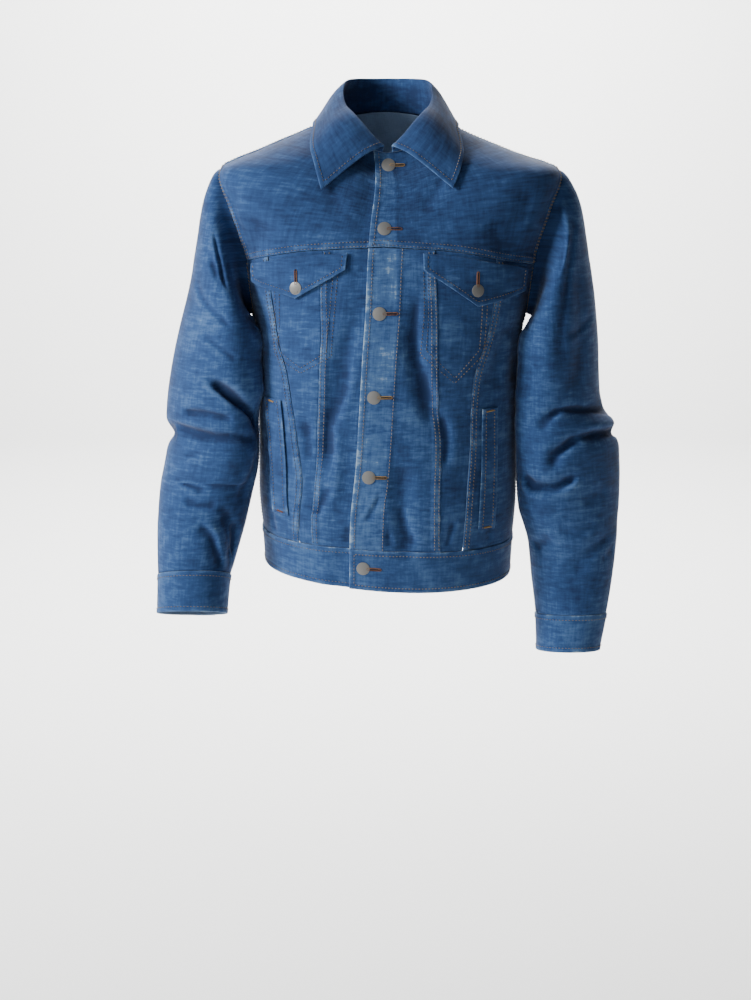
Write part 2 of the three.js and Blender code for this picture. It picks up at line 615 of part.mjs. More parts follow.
function flapAndPocket(name, side) {
  const flap = FLAPS[name];
  const place = (s, t) => {
    const turn = lerp(flap.inner, flap.outer, s);
    const top = yokeRise(turn) - FLAP_TOP_GAP;
    const inward = lerp(flap.innerDrop, flap.pointDrop, s / flap.point);
    const outward = lerp(flap.pointDrop, flap.outerDrop, (s - flap.point) / (1 - flap.point));
    return [turn, lerp(top, yokeRise(turn) - (s < flap.point ? inward : outward), t)];
  };
  const lift = (s) => ADD_ON_GAP + FLAP_CLOTH + FLAP_STAND * s * s;
  add("pocket_flap_" + name, wall(TORSO_SURFACE, place, 8, 3, { lift, thick: FLAP_CLOTH }));
  const at = [lerp(flap.inner, flap.outer, flap.point), flap.button];
  button("button_flap_" + name, TORSO_SURFACE, at, FLAP_BUTTON_RADIUS, lift(flap.point));

  const bag = CHEST_POCKETS[name];
  const bagPlace = (s, t) => {
    const share = s < bag.pointShare ? s / bag.pointShare : (1 - s) / (1 - bag.pointShare);
    return [lerp(bag.inner, bag.outer, s), lerp(bag.top - 4, lerp(bag.side, bag.point, share), t)];
  };
  const within = { lift: () => -(CLOTH + ADD_ON_GAP), thick: POCKET_CLOTH };
  add("chest_pocket_" + name, wall(TORSO_SURFACE, bagPlace, 8, 6, within), POCKETING);
}

function welt(name) {
  const size = WELTS[name];
  const place = (s, t) => {
    const from = lerp(size.innerBottom, size.innerTop, t);
    const to = lerp(size.outerBottom, size.outerTop, t);
    return [lerp(from, to, s), lerp(size.bottom, size.top, t)];
  };
  const lift = () => ADD_ON_GAP + WELT_CLOTH;
  add("hand_pocket_" + name, wall(TORSO_SURFACE, place, 3, 10, { lift, thick: WELT_CLOTH }));
}

// The collar in one piece, from the neck seam up to the fold and down to its edge.
function collarPoint(share, t) {
  const turn = lerp(COLLAR_START, 360 - COLLAR_START, share);
  const seam = torsoPoint(turn, NECK_RISE);
  seam.z += 2 * SEAM_GAP;
  const fold = foldPoint(turn);
  const edgePlace = ["turn", "rise"].map((name) => column(COLLAR_EDGE, "share", name, share));
  const up = normalOf(torsoPoint, ...edgePlace, 0.6, 1.5, 1);
  const edge = torsoPoint(...edgePlace).addScaledVector(up, COLLAR_LIFT);
  const outward = new THREE.Vector3(Math.sin(turn * DEGREE), -Math.cos(turn * DEGREE), 0);
  const drop = fold.distanceTo(edge);
  const roll = fold.clone().lerp(edge, ROLL_SHARE).addScaledVector(outward, ROLL_OUT * drop);
  roll.z += ROLL_UP * drop;
  const knots = [
    { t: 0, ...xyz(seam) },
    { t: 0.2, ...xyz(seam.clone().lerp(fold, 0.6)) },
    { t: 0.36, ...xyz(fold) },
    { t: 0.58, ...xyz(roll) },
    { t: 1, ...xyz(edge) },
  ];
  return new THREE.Vector3(...["x", "y", "z"].map((axis) => column(knots, "t", axis, t)));
}
const xyz = (point) => ({ x: point.x, y: point.y, z: point.z });
function foldPoint(turn) {
  const s = Math.sin(turn * DEGREE);
  const c = Math.cos(turn * DEGREE);
  const line = COLLAR_FOLD;
  const depth = c >= 0 ? line.deepFront : line.deepBack;
  const radius = ((s / line.half) ** 2 + (c / depth) ** 2) ** -0.5;
  const level = column(COLLAR_FOLD_RISE, "turn", "level", Math.min(turn, 360 - turn));
  return new THREE.Vector3(line.lean + radius * s, line.middle - radius * c, level);
}
function collar() {
  const surface = { point: collarPoint, du: 0.004, dv: 0.01, sense: -1 };
  const place = (s, t) => [s, t];
  add("collar", wall(surface, place, 32, 8, { thick: COLLAR_CLOTH, inset: 0.01 }));
}

// A metal shank button whose back sits just above the cloth.
function button(name, surface, place, radius, lift) {
  const shank = radius * 0.5;
  const profile = [
    [0, 0],
    [shank, 0],
    [shank, 1.2],
    [radius, 1.8],
    [radius, 2.8],
    [radius * 0.75, 3.5],
    [0, 3.7],
  ].map(([x, y]) => new THREE.Vector2(x, y));
  const mesh = add(name, new THREE.LatheGeometry(profile, 12), METAL);
  const normal = normalOf(surface.point, ...place, surface.du, surface.dv, surface.sense);
  mesh.position.copy(surface.point(...place)).addScaledVector(normal, lift + BUTTON_GAP);
  mesh.quaternion.setFromUnitVectors(new THREE.Vector3(0, 1, 0), normal);
}

for (const [name, side] of [["left", 1], ["right", -1]]) {
  frontYoke(name, side);
  frontPanels(name, side);
  flapAndPocket(name, side);
  welt(name);
  sleeveAndCuff(name, SLEEVES[name]);
}
backPieces();
waistband();
collar();
for (const [name, rise] of Object.entries(BUTTON_RISES)) {
  button("button_" + name, TORSO_SURFACE, [0, rise], BUTTON_RADIUS, rise < BAND_TOP ? BAND_RAISE : 0);
}

export default jacket;
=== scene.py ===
"""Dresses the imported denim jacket: shells of denim with their seams, folds and stitching, metal buttons,
buttonholes and a plain stage. Sizes are millimetres and degrees, as in the part's source, until a mesh is
made."""
import math
from collections import namedtuple

import bmesh
import bpy
import numpy as np
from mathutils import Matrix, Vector


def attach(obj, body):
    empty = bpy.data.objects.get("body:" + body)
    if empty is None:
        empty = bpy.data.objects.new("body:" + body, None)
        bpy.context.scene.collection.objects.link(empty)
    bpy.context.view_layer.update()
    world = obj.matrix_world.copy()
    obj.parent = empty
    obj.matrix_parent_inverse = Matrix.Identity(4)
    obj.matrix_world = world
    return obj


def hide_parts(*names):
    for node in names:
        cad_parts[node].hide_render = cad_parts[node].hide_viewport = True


bl_info = {
    "name": "Denim jacket",
    "version": (1, 0, 0),
    "blender": (4, 5, 0),
    "location": "View3D > Sidebar > Jacket",
    "description": "Sews, dyes and buttons a denim jacket round its packed frame",
    "category": "Add Mesh",
}

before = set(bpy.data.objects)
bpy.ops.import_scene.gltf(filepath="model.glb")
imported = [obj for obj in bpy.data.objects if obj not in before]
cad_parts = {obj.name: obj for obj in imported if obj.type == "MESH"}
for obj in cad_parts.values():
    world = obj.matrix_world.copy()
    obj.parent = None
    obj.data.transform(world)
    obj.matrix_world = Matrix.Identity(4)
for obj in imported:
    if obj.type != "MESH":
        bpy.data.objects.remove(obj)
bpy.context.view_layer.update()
MM = 0.001

# Sizes shared with the part
CLOTH = 1.6
BAND_CLOTH = 3.0
FLAP_CLOTH = 1.8
WELT_CLOTH = 1.4
POCKET_CLOTH = 1.0
COLLAR_CLOTH = 2.2
SEAM_GAP = 0.3
ADD_ON_GAP = 0.9
LAP = 17
UNDERLAP = 2.6
UNDERLAP_RAMP = 14
BAND_TOP = 52
BAND_RAISE = 0.8
NECK_RISE = 625
UNDER_YOKE = 430
CUFF_LENGTH = 50
SLEEVE_SQUARE = 2.15
SLEEVE_JOIN = 70
HEAD_CLEAR = 5
ARMPIT_CLEAR = 10
ARMPIT_START = 75
ARMPIT_SPREAD = 60
# Millimetres for each degree round the torso and round a sleeve, and the turn at which each count starts
TORSO_DEGREE = 2.3
SLEEVE_DEGREE = 1.0
TORSO_CUT = -100
SLEEVE_CUT = -180


def table(names, *rows):
    """Named columns of a short table of sizes."""
    return {name: np.array([row[i] for row in rows], float) for i, name in enumerate(names.split())}


def named(names, *values):
    """Sizes by their names."""
    return dict(zip(names.split(), values))


BODY = table(
    "rise front side back half deepFront deepBack middle lean turn square sway",
    (0, -575, -569, -572, 164, 122, 114, 0, -2, -15, 2.3, 8),
    (52, -520, -519, -520, 167, 124, 116, 0, -2, -14.5, 2.3, 6),
    (100, -474, -475, -474, 170, 127, 118, 0, -2, -13.5, 2.3, 4),
    (160, -414, -415, -414, 170, 124, 117, 0, -2, -11, 2.3, 2),
    (240, -336, -338, -336, 170, 121, 118, 0, -2, -9, 2.3, 0),
    (310, -266, -272, -266, 171, 122, 122, 0, -1, -7.5, 2.35, 0),
    (355, -218, -226, -216, 176, 119, 123, 0, 0, -6.5, 2.35, 0),
    (425, -150, -152, -142, 190, 108, 121, 0, 0, -5.5, 2.5, 0),
    (475, -108, -92, -84, 207, 93, 112, 0, 0, -4, 3, 0),
    (515, -82, -49, -47, 214, 82, 100, 1, 0, -2, 3.1, 1),
    (550, -62, -27, -19, 165, 76, 88, 3, 0, -1, 2.6, 3),
    (590, -46, -7, 2, 115, 68, 78, 6, -2, 0, 2, 3),
    (625, -26, 12, 22, 72, 62, 66, 8, -4, 0, 2, 1),
)
# Each row of a sleeve: its outer and inner lines, how far forward its middle lies, and its half depth.
# skew is how much further forward the inner line lies.
SLEEVE_COLUMNS = "along outX outZ inX inZ middle deep skew"
RIGHT_SLEEVE = table(
    SLEEVE_COLUMNS,
    (0, 214, -49, 182, -232, 1, 44, 0),
    (16, 224, -54, 184, -236, 1, 47, 4),
    (41, 234, -73, 183, -241, 1, 52, 18),
    (75, 242, -105, 177.5, -246, 1, 57, 32),
    (114, 249, -143, 173, -253, 1, 61, 40),
    (168, 259, -196, 170.5, -268, 1, 62, 44),
    (229, 275, -255, 170, -295, 1, 61, 46),
    (290, 288, -315, 169.5, -330, 0, 60, 46),
    (345, 294, -367, 169.5, -373, -3, 59, 44),
    (367, 290, -391, 169.5, -393, -7, 58, 42),
    (388, 294, -411, 170, -412, -12, 57, 37),
    (410, 298, -432, 172.5, -433, -17, 56, 30),
    (432, 301.5, -452, 177.5, -453, -23, 55, 22),
    (486, 304, -499, 189, -501, -46, 51, 6),
    (540, 303, -550, 203, -549, -69, 45, 0),
    (556, 302, -565, 207.5, -564, -76, 41, 0),
    (606, 302, -612, 212, -612, -95, 38, 0),
)
LEFT_SLEEVE = table(
    SLEEVE_COLUMNS,
    (0, 214, -49, 182, -232, 1, 44, 0),
    (16, 224, -54, 184, -236, 1, 47, 4),
    (41, 237, -74, 183, -241, 1, 52, 18),
    (75, 247, -105, 177, -246, 1, 57, 32),
    (114, 254, -143, 171.5, -253, 1, 61, 40),
    (168, 264, -196, 168.5, -268, 1, 62, 44),
    (229, 271, -255, 167, -295, 1, 61, 46),
    (290, 275, -315, 166, -330, 1, 60, 46),
    (325, 280, -347, 166, -352, 1, 60, 46),
    (362, 299, -378, 165.5, -384, 0, 60, 46),
    (410, 306, -425, 165, -427, -2, 58, 44),
    (466, 306, -480, 169.5, -481, -9, 54, 30),
    (490, 304, -504, 176.5, -505, -14, 52, 20),
    (517, 303, -530, 184, -531, -19, 50, 8),
    (568, 298, -580, 190, -580, -27, 45, 0),
    (618, 291, -628, 196, -628, -36, 41, 0),
    (669, 281, -678, 198, -678, -46, 38, 0),
)
# Folds: where each starts and ends, how far it bows sideways, its width and its depth (negative inwards).
FOLD_COLUMNS = "turn0 up0 turn1 up1 bow width depth"
BODY_FOLDS = table(
    FOLD_COLUMNS,
    (-15, 350, -25, 150, 6, 13, -6),
    (-40, 240, -30, 90, -5, 12, -3),
    (20, 350, 38, 215, 8, 13, -6),
    (18, 170, 26, 40, 0, 14, -5),
    (74, 345, 66, 260, 5, 13, -4),
    (62, 470, 72, 410, 4, 14, -5),
    (-62, 470, -72, 410, -4, 14, -4),
    (130, 330, 150, 110, 8, 16, -6),
    (228, 330, 208, 120, -8, 16, -6),
    (172, 250, 186, 80, 6, 16, -4),
    (124, 380, 137, 325, 4, 14, -4),
    (238, 380, 225, 325, -4, 14, -4),
)
RIGHT_SLEEVE_FOLDS = table(
    FOLD_COLUMNS,
    (92, 275, 172, 352, 6, 9, -9),
    (56, 332, 122, 333, 3, 7, -4),
    (-25, 374, 40, 361, 3, 9, -7),
    (40, 359, 165, 362, -5, 8, -7),
    (118, 478, 158, 535, 4, 9, -6),
    (68, 462, 112, 466, -3, 6, -3),
    (112, 50, 62, 110, 6, 13, -6),
    (150, 60, 158, 130, 0, 10, -5),
    (-50, 300, -140, 365, -4, 12, -6),
    (-60, 430, -150, 405, 5, 9, -6),
    (-45, 478, -115, 522, 4, 8, -4),
)
LEFT_SLEEVE_FOLDS = table(
    FOLD_COLUMNS,
    (-17, 349, 96, 324, 2, 10, -6),
    (96, 323, 130, 350, 3, 9, -4),
    (-25, 381, 80, 369, 4, 9, -8),
    (80, 369, 115, 404, 6, 8, -6),
    (86, 418, 154, 416, -15, 9, -6),
    (60, 110, 75, 300, -6, 14, -4),
    (150, 60, 158, 130, 0, 10, -5),
    (40, 500, 95, 560, 5, 12, -3),
    (-30, 360, -130, 395, -6, 9, -7),
    (-50, 440, -150, 430, 6, 9, -6),
)
Crease = namedtuple("Crease", "steep gentle depth ridge path")


def crease_table(*rows):
    """Finer creases: how wide they are on their steep and on their gentle side, their depth, negative inwards,
    how high the cloth stands beside the steep side, and the places that they pass. The gentle side is above
    a path of growing turn on a sleeve and below one on the body."""
    return [Crease(*row[:4], row[4:]) for row in rows]


BODY_CREASES = crease_table(
    (16, 16, 4, 0, (-86, 430), (-90, 340), (-88, 230)),
    (6, 11, -3.3, 0.8, (-17, 312), (-18, 263), (-25, 218), (-24, 190), (-21, 150)),
    (5, 8, -2.8, 0.7, (-21, 138), (-26, 92)),
    (6, 8, -2.1, 0, (-37, 222), (-34, 165)),
    (5, 10, -3.3, 0.8, (22, 385), (22, 320), (29, 276), (35, 240)),
    (6, 9, -2.8, 0.6, (39, 234), (42, 200), (42, 160)),
    (5, 8, -2.4, 0.7, (19, 116), (24, 85), (31, 58)),
    (2.5, 5, -1.5, 0.7, (0, 90), (4, 108), (8, 132)),
    (7, 7, 2, 0, (-22, 230), (-19, 171), (-16, 112)),
    (7, 12, -2.8, 0, (77, 352), (79, 319), (84, 255)),
    (5, 8, -1.9, 0.4, (71, 500), (70, 464), (66, 446)),
    (5, 8, -1.9, 0.4, (-70, 500), (-72, 464), (-68, 446)),
    (9, 12, -1.7, 0, (-52, 560), (-42, 520), (-30, 470)),
    (9, 12, -1.7, 0, (46, 565), (38, 520), (26, 480)),
    (3, 5, -1.5, 0.4, (-52, 90), (-50, 57)),
    (3, 5, -1.4, 0.4, (-8, 84), (-10, 56)),
    (3, 5, -1.5, 0.4, (14, 80), (16, 57)),
    (3, 6, -1.7, 0.4, (50, 96), (47, 57)),
    (3, 5, -1.4, 0.4, (70, 84), (71, 57)),
    (7, 12, -3.3, 0.8, (150, 420), (164, 300), (158, 200)),
    (7, 11, -2.8, 0.8, (208, 400), (196, 280), (203, 160)),
    (6, 10, -2.8, 0.6, (126, 250), (136, 110)),
    (6, 10, -2.4, 0.6, (234, 260), (223, 120)),
    (5, 9, -2.2, 0.6, (112, 452), (128, 470), (150, 474)),
    (5, 9, -2.1, 0.6, (214, 470), (232, 468), (248, 450)),
    (3, 6, -1.6, 0.4, (146, 98), (149, 57)),
    (3, 5, -1.4, 0.4, (176, 88), (174, 57)),
    (3, 6, -1.7, 0.4, (213, 104), (210, 57)),
)
RIGHT_SLEEVE_CREASES = crease_table(
    (22, 24, 8, 0, (158, 20), (172, 160), (168, 340)),
    (3.5, 15, -5.9, 2.3, (80, 268), (104, 286), (142, 316), (175, 343)),
    (3, 6, -2.9, 1.2, (52, 332), (86, 327), (122, 331)),
    (3, 6, -3.4, 1.4, (28, 352), (74, 361), (99, 364), (150, 360)),
    (3, 4, -1.8, 0.7, (60, 388), (82, 383)),
    (5, 9, -3.4, 0.7, (64, 62), (80, 76), (96, 104)),
    (2.8, 5, -2.6, 1, (60, 432), (78, 440), (94, 451)),
    (3.5, 11, -4.9, 1.8, (142, 556), (124, 529), (112, 510), (90, 495)),
    (3, 7, -4.4, 1.6, (138, 485), (154, 513), (172, 553)),
    (9, 11, -3.4, 0, (172, 375), (148, 430), (142, 470)),
    (4, 6, -2.1, 0.5, (114, 471), (138, 486)),
    (5, 9, -1.8, 0.5, (36, 150), (75, 166), (112, 160)),
    (4, 8, -1.6, 0.5, (66, 208), (92, 214), (124, 224)),
    (4, 8, -1.8, 0.5, (-30, 120), (-70, 142), (-112, 150)),
    (4, 10, -4.2, 1.4, (-142, 352), (-92, 332), (-40, 316)),
    (3.5, 7, -3.4, 1.2, (-152, 408), (-100, 396), (-58, 402)),
    (3, 6, -2.6, 0.9, (-98, 472), (-50, 452)),
    (4, 8, -3.4, 1, (-150, 548), (-112, 530), (-70, 506)),
)
LEFT_SLEEVE_CREASES = crease_table(
    (20, 20, 5, 0, (158, 30), (168, 160), (164, 430)),
    (3.2, 9, -3.7, 1.5, (-14, 351), (58, 329), (92, 322), (106, 328), (126, 346)),
    (3.2, 9, -4.7, 1.8, (-10, 378), (28, 371), (81, 367), (97, 377), (111, 388), (115, 408)),
    (3.2, 9, -4.4, 1.8, (84, 414), (99, 428), (116, 434), (142, 433), (154, 414)),
    (9, 10, -2, 0, (48, 440), (82, 455)),
    (8, 12, -2.6, 0, (118, 498), (134, 512), (152, 528)),
    (8, 8, -2, 0, (26, 526), (56, 540)),
    (5, 5, 2.6, 0, (50, 28), (64, 52), (76, 75), (88, 98)),
    (7, 9, -2.6, 0, (40, 44), (66, 92), (80, 130), (94, 200), (88, 262)),
    (3, 6, -1.8, 0.6, (62, 486), (90, 494), (112, 490)),
    (4, 8, -1.5, 0.4, (30, 196), (62, 206), (92, 200)),
    (4, 8, -1.5, 0.4, (-110, 158), (-66, 148), (-34, 126)),
    (4, 10, -3.6, 1.2, (-138, 388), (-86, 366), (-36, 352)),
    (3.5, 7, -3.1, 1, (-148, 434), (-98, 442), (-52, 430)),
    (3, 6, -2.2, 0.8, (-104, 508), (-54, 496)),
    (4, 8, -2.6, 0.8, (-146, 590), (-108, 574), (-72, 552)),
)
FRONT_SEAMS = table(
    "rise leftInner leftOuter rightInner rightOuter",
    (52, 44, 56, -28, -35),
    (130, 41, 55, -29, -35),
    (190, 40, 55, -30.5, -40),
    (240, 38, 54.5, -30.5, -44),
    (285, 35.5, 55, -30.5, -47.5),
    (325, 34, 59, -30.5, -53),
    (380, 33, 62, -33, -57),
    (440, 33, 63, -34, -58),
)
FRONT_YOKE_SEAM = table("turn rise", (0, 438), (25, 435), (45, 431), (65, 421), (90, 410))
BACK_YOKE_RISE = 448
ARMHOLE = {"rise": 432, "half": 83, "front": 11.5, "back": 16}


def column(rows, key, name, at):
    """A smooth curve through one column of a table, read at places along another."""
    xs, ys = rows[key], rows[name]
    slope = np.empty_like(ys)
    slope[1:-1] = (ys[2:] - ys[:-2]) / (xs[2:] - xs[:-2])
    slope[0] = (ys[1] - ys[0]) / (xs[1] - xs[0])
    slope[-1] = (ys[-1] - ys[-2]) / (xs[-1] - xs[-2])
    at = np.clip(np.asarray(at, float), xs[0], xs[-1])
    i = np.clip(np.searchsorted(xs, at, side="right") - 1, 0, len(xs) - 2)
    span = xs[i + 1] - xs[i]
    t = (at - xs[i]) / span
    start = (1 + 2 * t) * (1 - t) ** 2 * ys[i] + t * (1 - t) ** 2 * span * slope[i]
    return start + t * t * (3 - 2 * t) * ys[i + 1] + t * t * (t - 1) * span * slope[i + 1]


def mix(a, b, t):
    return a + (b - a) * t


def ease(x):
    """A smooth step from 0 to 1."""
    t = np.clip(x, 0, 1)
    return t * t * (3 - 2 * t)


def wrap(turn, low):
    """The same direction, counted from low to low + 360."""
    return (turn - low) % 360 + low


# The share of a fold's length over which it dies out at each end, and where its fading starts
FOLD_END = 0.25
FOLD_START = 0.25


def fold_depth(folds, degree, turn, up):
    """How far the folds move each place in or out."""
    x, y = turn * degree, up
    depth = np.zeros(np.broadcast(x, y).shape)
    for k in range(len(folds["turn0"])):
        f = {name: values[k] for name, values in folds.items()}
        x0, x1 = f["turn0"] * degree, f["turn1"] * degree
        dx, dy = x1 - x0, f["up1"] - f["up0"]
        length = math.hypot(dx, dy)
        t = ((x - x0) * dx + (y - f["up0"]) * dy) / length**2
        within = np.clip(t, 0, 1)
        bow = f["bow"] * 4 * within * (1 - within)
        across = ((x - x0) * dy - (y - f["up0"]) * dx) / length - bow
        past = (t - within) * length
        fade = ease(np.minimum(within, 1 - within) / FOLD_END + FOLD_START)
        depth += f["depth"] * fade * np.exp(-(across**2 + past**2) / f["width"] ** 2)
    return depth


def smooth_path(path, steps=7):
    """More places on a smooth curve through a few."""
    places = np.array(path, float)
    ends = np.concatenate([[2 * places[0] - places[1]], places, [2 * places[-1] - places[-2]]])
    found = []
    for a, b, c, d in zip(ends[:-3], ends[1:-2], ends[2:-1], ends[3:]):
        t = np.linspace(0, 1, steps, endpoint=False)[:, None]
        bend = a - 2.5 * b + 2 * c - d / 2
        twist = 1.5 * (b - c) + (d - a) / 2
        found.append(b + t * (c - a) / 2 + t * t * bend + t**3 * twist)
    return np.concatenate([*found, places[-1:]])


# How much a crease's depth varies, over what length, and the share of its length over which it grows
CREASE_UNEVEN = 0.25
CREASE_RUN = 24
CREASE_GROWTH = 0.22
CREASE_SEED = 90
# Where the cloth stands up beside a crease and how broadly, in widths of its steep side
STAND_PLACE = 2.1
STAND_WIDTH = 1.1


def crease_height(creases, degree, turn, up):
    """How far the finer creases move each place in or out. They grow from nothing at both ends."""
    x, y = turn * degree, up
    height = np.zeros(x.shape)
    for number, crease in enumerate(creases):
        path = smooth_path(crease.path) * (degree, 1)
        steps = np.linalg.norm(np.diff(path, axis=0), axis=-1)
        starts = np.concatenate([[0], np.cumsum(steps)])
        nearest, signed, along = np.full(x.shape, 1e9), np.zeros(x.shape), np.zeros(x.shape)
        for (x0, y0), (x1, y1), length, start in zip(path[:-1], path[1:], steps, starts):
            dx, dy = (x1 - x0) / length, (y1 - y0) / length
            t = np.clip((x - x0) * dx + (y - y0) * dy, 0, length)
            away = np.hypot(x - x0 - t * dx, y - y0 - t * dy)
            closer = away < nearest
            nearest = np.where(closer, away, nearest)
            signed = np.where(closer, np.sign((x - x0) * dy - (y - y0) * dx) * away, signed)
            along = np.where(closer, start + t, along)
        whole = starts[-1]
        uneven = 1 + CREASE_UNEVEN * noise(along / CREASE_RUN, 0 * along, CREASE_SEED + number)
        fade = ease(np.minimum(along, whole - along) / (CREASE_GROWTH * whole)) * uneven
        width = np.where(signed > 0, crease.gentle, crease.steep)
        trough = crease.depth * np.exp(-((signed / width) ** 2))
        beside = crease.ridge * np.exp(-(((signed / crease.steep + STAND_PLACE) / STAND_WIDTH) ** 2))
        height += fade * (trough + beside)
    return height


def torso(turn, rise):
    """Points of the torso's outer cloth: degrees round from the line of buttons, and rise."""
    turn, rise = np.broadcast_arrays(np.asarray(turn, float), np.asarray(rise, float))
    read = {name: column(BODY, "rise", name, rise) for name in BODY if name != "rise"}
    angle = np.radians(turn + read["turn"])
    s, c = np.sin(angle), np.cos(angle)
    depth = np.where(c >= 0, read["deepFront"], read["deepBack"])
    square = read["square"]
    radius = ((np.abs(s) / read["half"]) ** square + (np.abs(c) / depth) ** square) ** (-1 / square)
    radius = radius + fold_depth(BODY_FOLDS, TORSO_DEGREE, wrap(turn, TORSO_CUT), rise)
    ahead, behind = np.where(c > 0, c * c, 0), np.where(c < 0, c * c, 0)
    level = ahead * read["front"] + s * s * read["side"] + behind * read["back"] - s * read["sway"]
    return np.stack([read["lean"] + radius * s, read["middle"] - radius * c, level], -1)


# How far to each side a slope is read: degrees round the torso, up its rise and along a sleeve
PROBE_TURN = 0.6
PROBE_RISE = 1.5
PROBE_ALONG = 6


def torso_normal(turn, rise):
    rise = np.asarray(rise)
    across = torso(turn + PROBE_TURN, rise) - torso(turn - PROBE_TURN, rise)
    up = torso(turn, rise + PROBE_RISE) - torso(turn, rise - PROBE_RISE)
    return unit(np.cross(across, up))


def side_turn(side, rise):
    return side * 90 - column(BODY, "rise", "turn", rise)


def armhole_place(side, around):
    """The armhole seam: degrees round it from the shoulder point, positive over the front."""
    around = np.asarray(around, float)
    rise = ARMHOLE["rise"] + ARMHOLE["half"] * np.cos(np.radians(around))
    reach = np.where(around >= 0, ARMHOLE["front"], ARMHOLE["back"])
    return side_turn(side, rise) - side * reach * np.sin(np.radians(around)), rise


def sleeve_ring(rows, side, along):
    read = {name: column(rows, "along", name, along) for name in rows if name != "along"}
    outer = np.stack([side * read["outX"], read["middle"], read["outZ"]], -1)
    inner = np.stack([side * read["inX"], read["middle"] - read["skew"], read["inZ"]], -1)
    return (outer + inner) / 2, (outer - inner) / 2, read["deep"]


def unit(v):
    return v / np.maximum(np.linalg.norm(v, axis=-1, keepdims=True), 1e-12)


def sleeve(rows, folds, side, turn, along):
    """Points of a sleeve's outer cloth: degrees round from its outer line, positive over the front."""
    turn, along = np.broadcast_arrays(np.asarray(turn, float), np.asarray(along, float))
    centre, reach, deep = sleeve_ring(rows, side, along)
    ahead = sleeve_ring(rows, side, along + PROBE_ALONG)[0] - sleeve_ring(rows, side, along - PROBE_ALONG)[0]
    forward = unit(np.cross(ahead, reach * (1, 0, 1)) * (0, side, side))
    forward = np.where(forward[..., 1:2] > 0, -forward, forward)
    c, s = np.cos(np.radians(turn)), np.sin(np.radians(turn))
    size = (np.abs(c) ** SLEEVE_SQUARE + np.abs(s) ** SLEEVE_SQUARE) ** (-1 / SLEEVE_SQUARE)
    spoke = reach * (c * size)[..., None] + forward * (s * size * deep)[..., None]
    wrapped = wrap(turn, SLEEVE_CUT)
    spoke = spoke + unit(spoke) * fold_depth(folds, SLEEVE_DEGREE, wrapped, along)[..., None]
    free = centre + spoke
    seam = armhole_place(side, wrapped)
    under = ease((np.abs(wrapped) - ARMPIT_START) / ARMPIT_SPREAD)[..., None]
    clear = 2 * SEAM_GAP + mix(HEAD_CLEAR, ARMPIT_CLEAR, under) * ease(2 * along / SLEEVE_JOIN)[..., None]
    outward = mix(np.array([side, 0, 0]), torso_normal(*seam), under)
    joined = torso(*seam) + outward * clear
    share = ease(along / SLEEVE_JOIN)[..., None]
    return joined * (1 - share) + free * share


COLLAR_FOLD = {"half": 56, "front": 66, "back": 64, "middle": 8, "lean": -3}
COLLAR_FOLD_RISE = table(
    "turn level",
    (0, -24),
    (17, -5),
    (30, 10),
    (45, 22),
    (65, 31),
    (90, 46),
    (107, 58),
    (130, 63),
    (180, 64),
)
COLLAR_EDGE = table(
    "share turn rise",
    (0, 45.5, 511),
    (0.1, 56, 563),
    (0.2, 76, 607),
    (0.3, 108, 608),
    (0.5, 180, 584),
    (0.7, 252, 604),
    (0.8, 282, 603),
    (0.9, 304, 558),
    (1, 316.5, 506),
)
COLLAR_LIFT = 4.5
COLLAR_START = 5
COLLAR_KNOTS = (0, 0.2, 0.36, 0.58, 1)
# Where the stand ends on the way to the fold, and how the collar rolls over
STAND_SHARE = 0.6
ROLL_SHARE = 0.3
ROLL_OUT = 0.05
ROLL_UP = 0.05


def collar_surface(share, down):
    """Points of the collar: share along the neck, and down from the seam over the fold to the edge."""
    share, down = np.broadcast_arrays(np.asarray(share, float), np.asarray(down, float))
    turn = COLLAR_START + (360 - 2 * COLLAR_START) * share
    seam = torso(turn, NECK_RISE)
    seam[..., 2] += 2 * SEAM_GAP
    s, c = np.sin(np.radians(turn)), np.cos(np.radians(turn))
    line = COLLAR_FOLD
    depth = np.where(c >= 0, line["front"], line["back"])
    radius = ((s / line["half"]) ** 2 + (c / depth) ** 2) ** -0.5
    level = column(COLLAR_FOLD_RISE, "turn", "level", np.minimum(turn, 360 - turn))
    fold = np.stack([line["lean"] + radius * s, line["middle"] - radius * c, level], -1)
    place = [column(COLLAR_EDGE, "share", name, share) for name in ("turn", "rise")]
    edge = torso(*place) + COLLAR_LIFT * torso_normal(*place)
    drop = np.linalg.norm(fold - edge, axis=-1, keepdims=True)
    outward = np.stack([s, -c, 0 * s], -1)
    roll = fold + (edge - fold) * ROLL_SHARE + outward * ROLL_OUT * drop
    roll[..., 2] += ROLL_UP * drop[..., 0]
    points = [seam, seam + STAND_SHARE * (fold - seam), fold, roll, edge]
    return through(COLLAR_KNOTS, points, down)


def through(knots, points, at):
    """A smooth curve through several grids of points, read at places between the knots."""
    knots, points = np.array(knots), np.stack(points)
    gaps = (knots[2:] - knots[:-2]).reshape((-1,) + (1,) * (points.ndim - 1))
    slope = np.empty_like(points)
    slope[1:-1] = (points[2:] - points[:-2]) / gaps
    slope[0] = (points[1] - points[0]) / (knots[1] - knots[0])
    slope[-1] = (points[-1] - points[-2]) / (knots[-1] - knots[-2])
    i = np.clip(np.searchsorted(knots, at, side="right") - 1, 0, len(knots) - 2)
    span = (knots[i + 1] - knots[i])[..., None]
    t = ((at - knots[i]) / span[..., 0])[..., None]
    pick = lambda grids, k: np.take_along_axis(grids, k[None, ..., None], 0)[0]
    start = (1 + 2 * t) * (1 - t) ** 2 * pick(points, i) + t * (1 - t) ** 2 * span * pick(slope, i)
    end = t * t * (3 - 2 * t) * pick(points, i + 1) + t * t * (t - 1) * span * pick(slope, i + 1)
    return start + end


LATTICE = 61


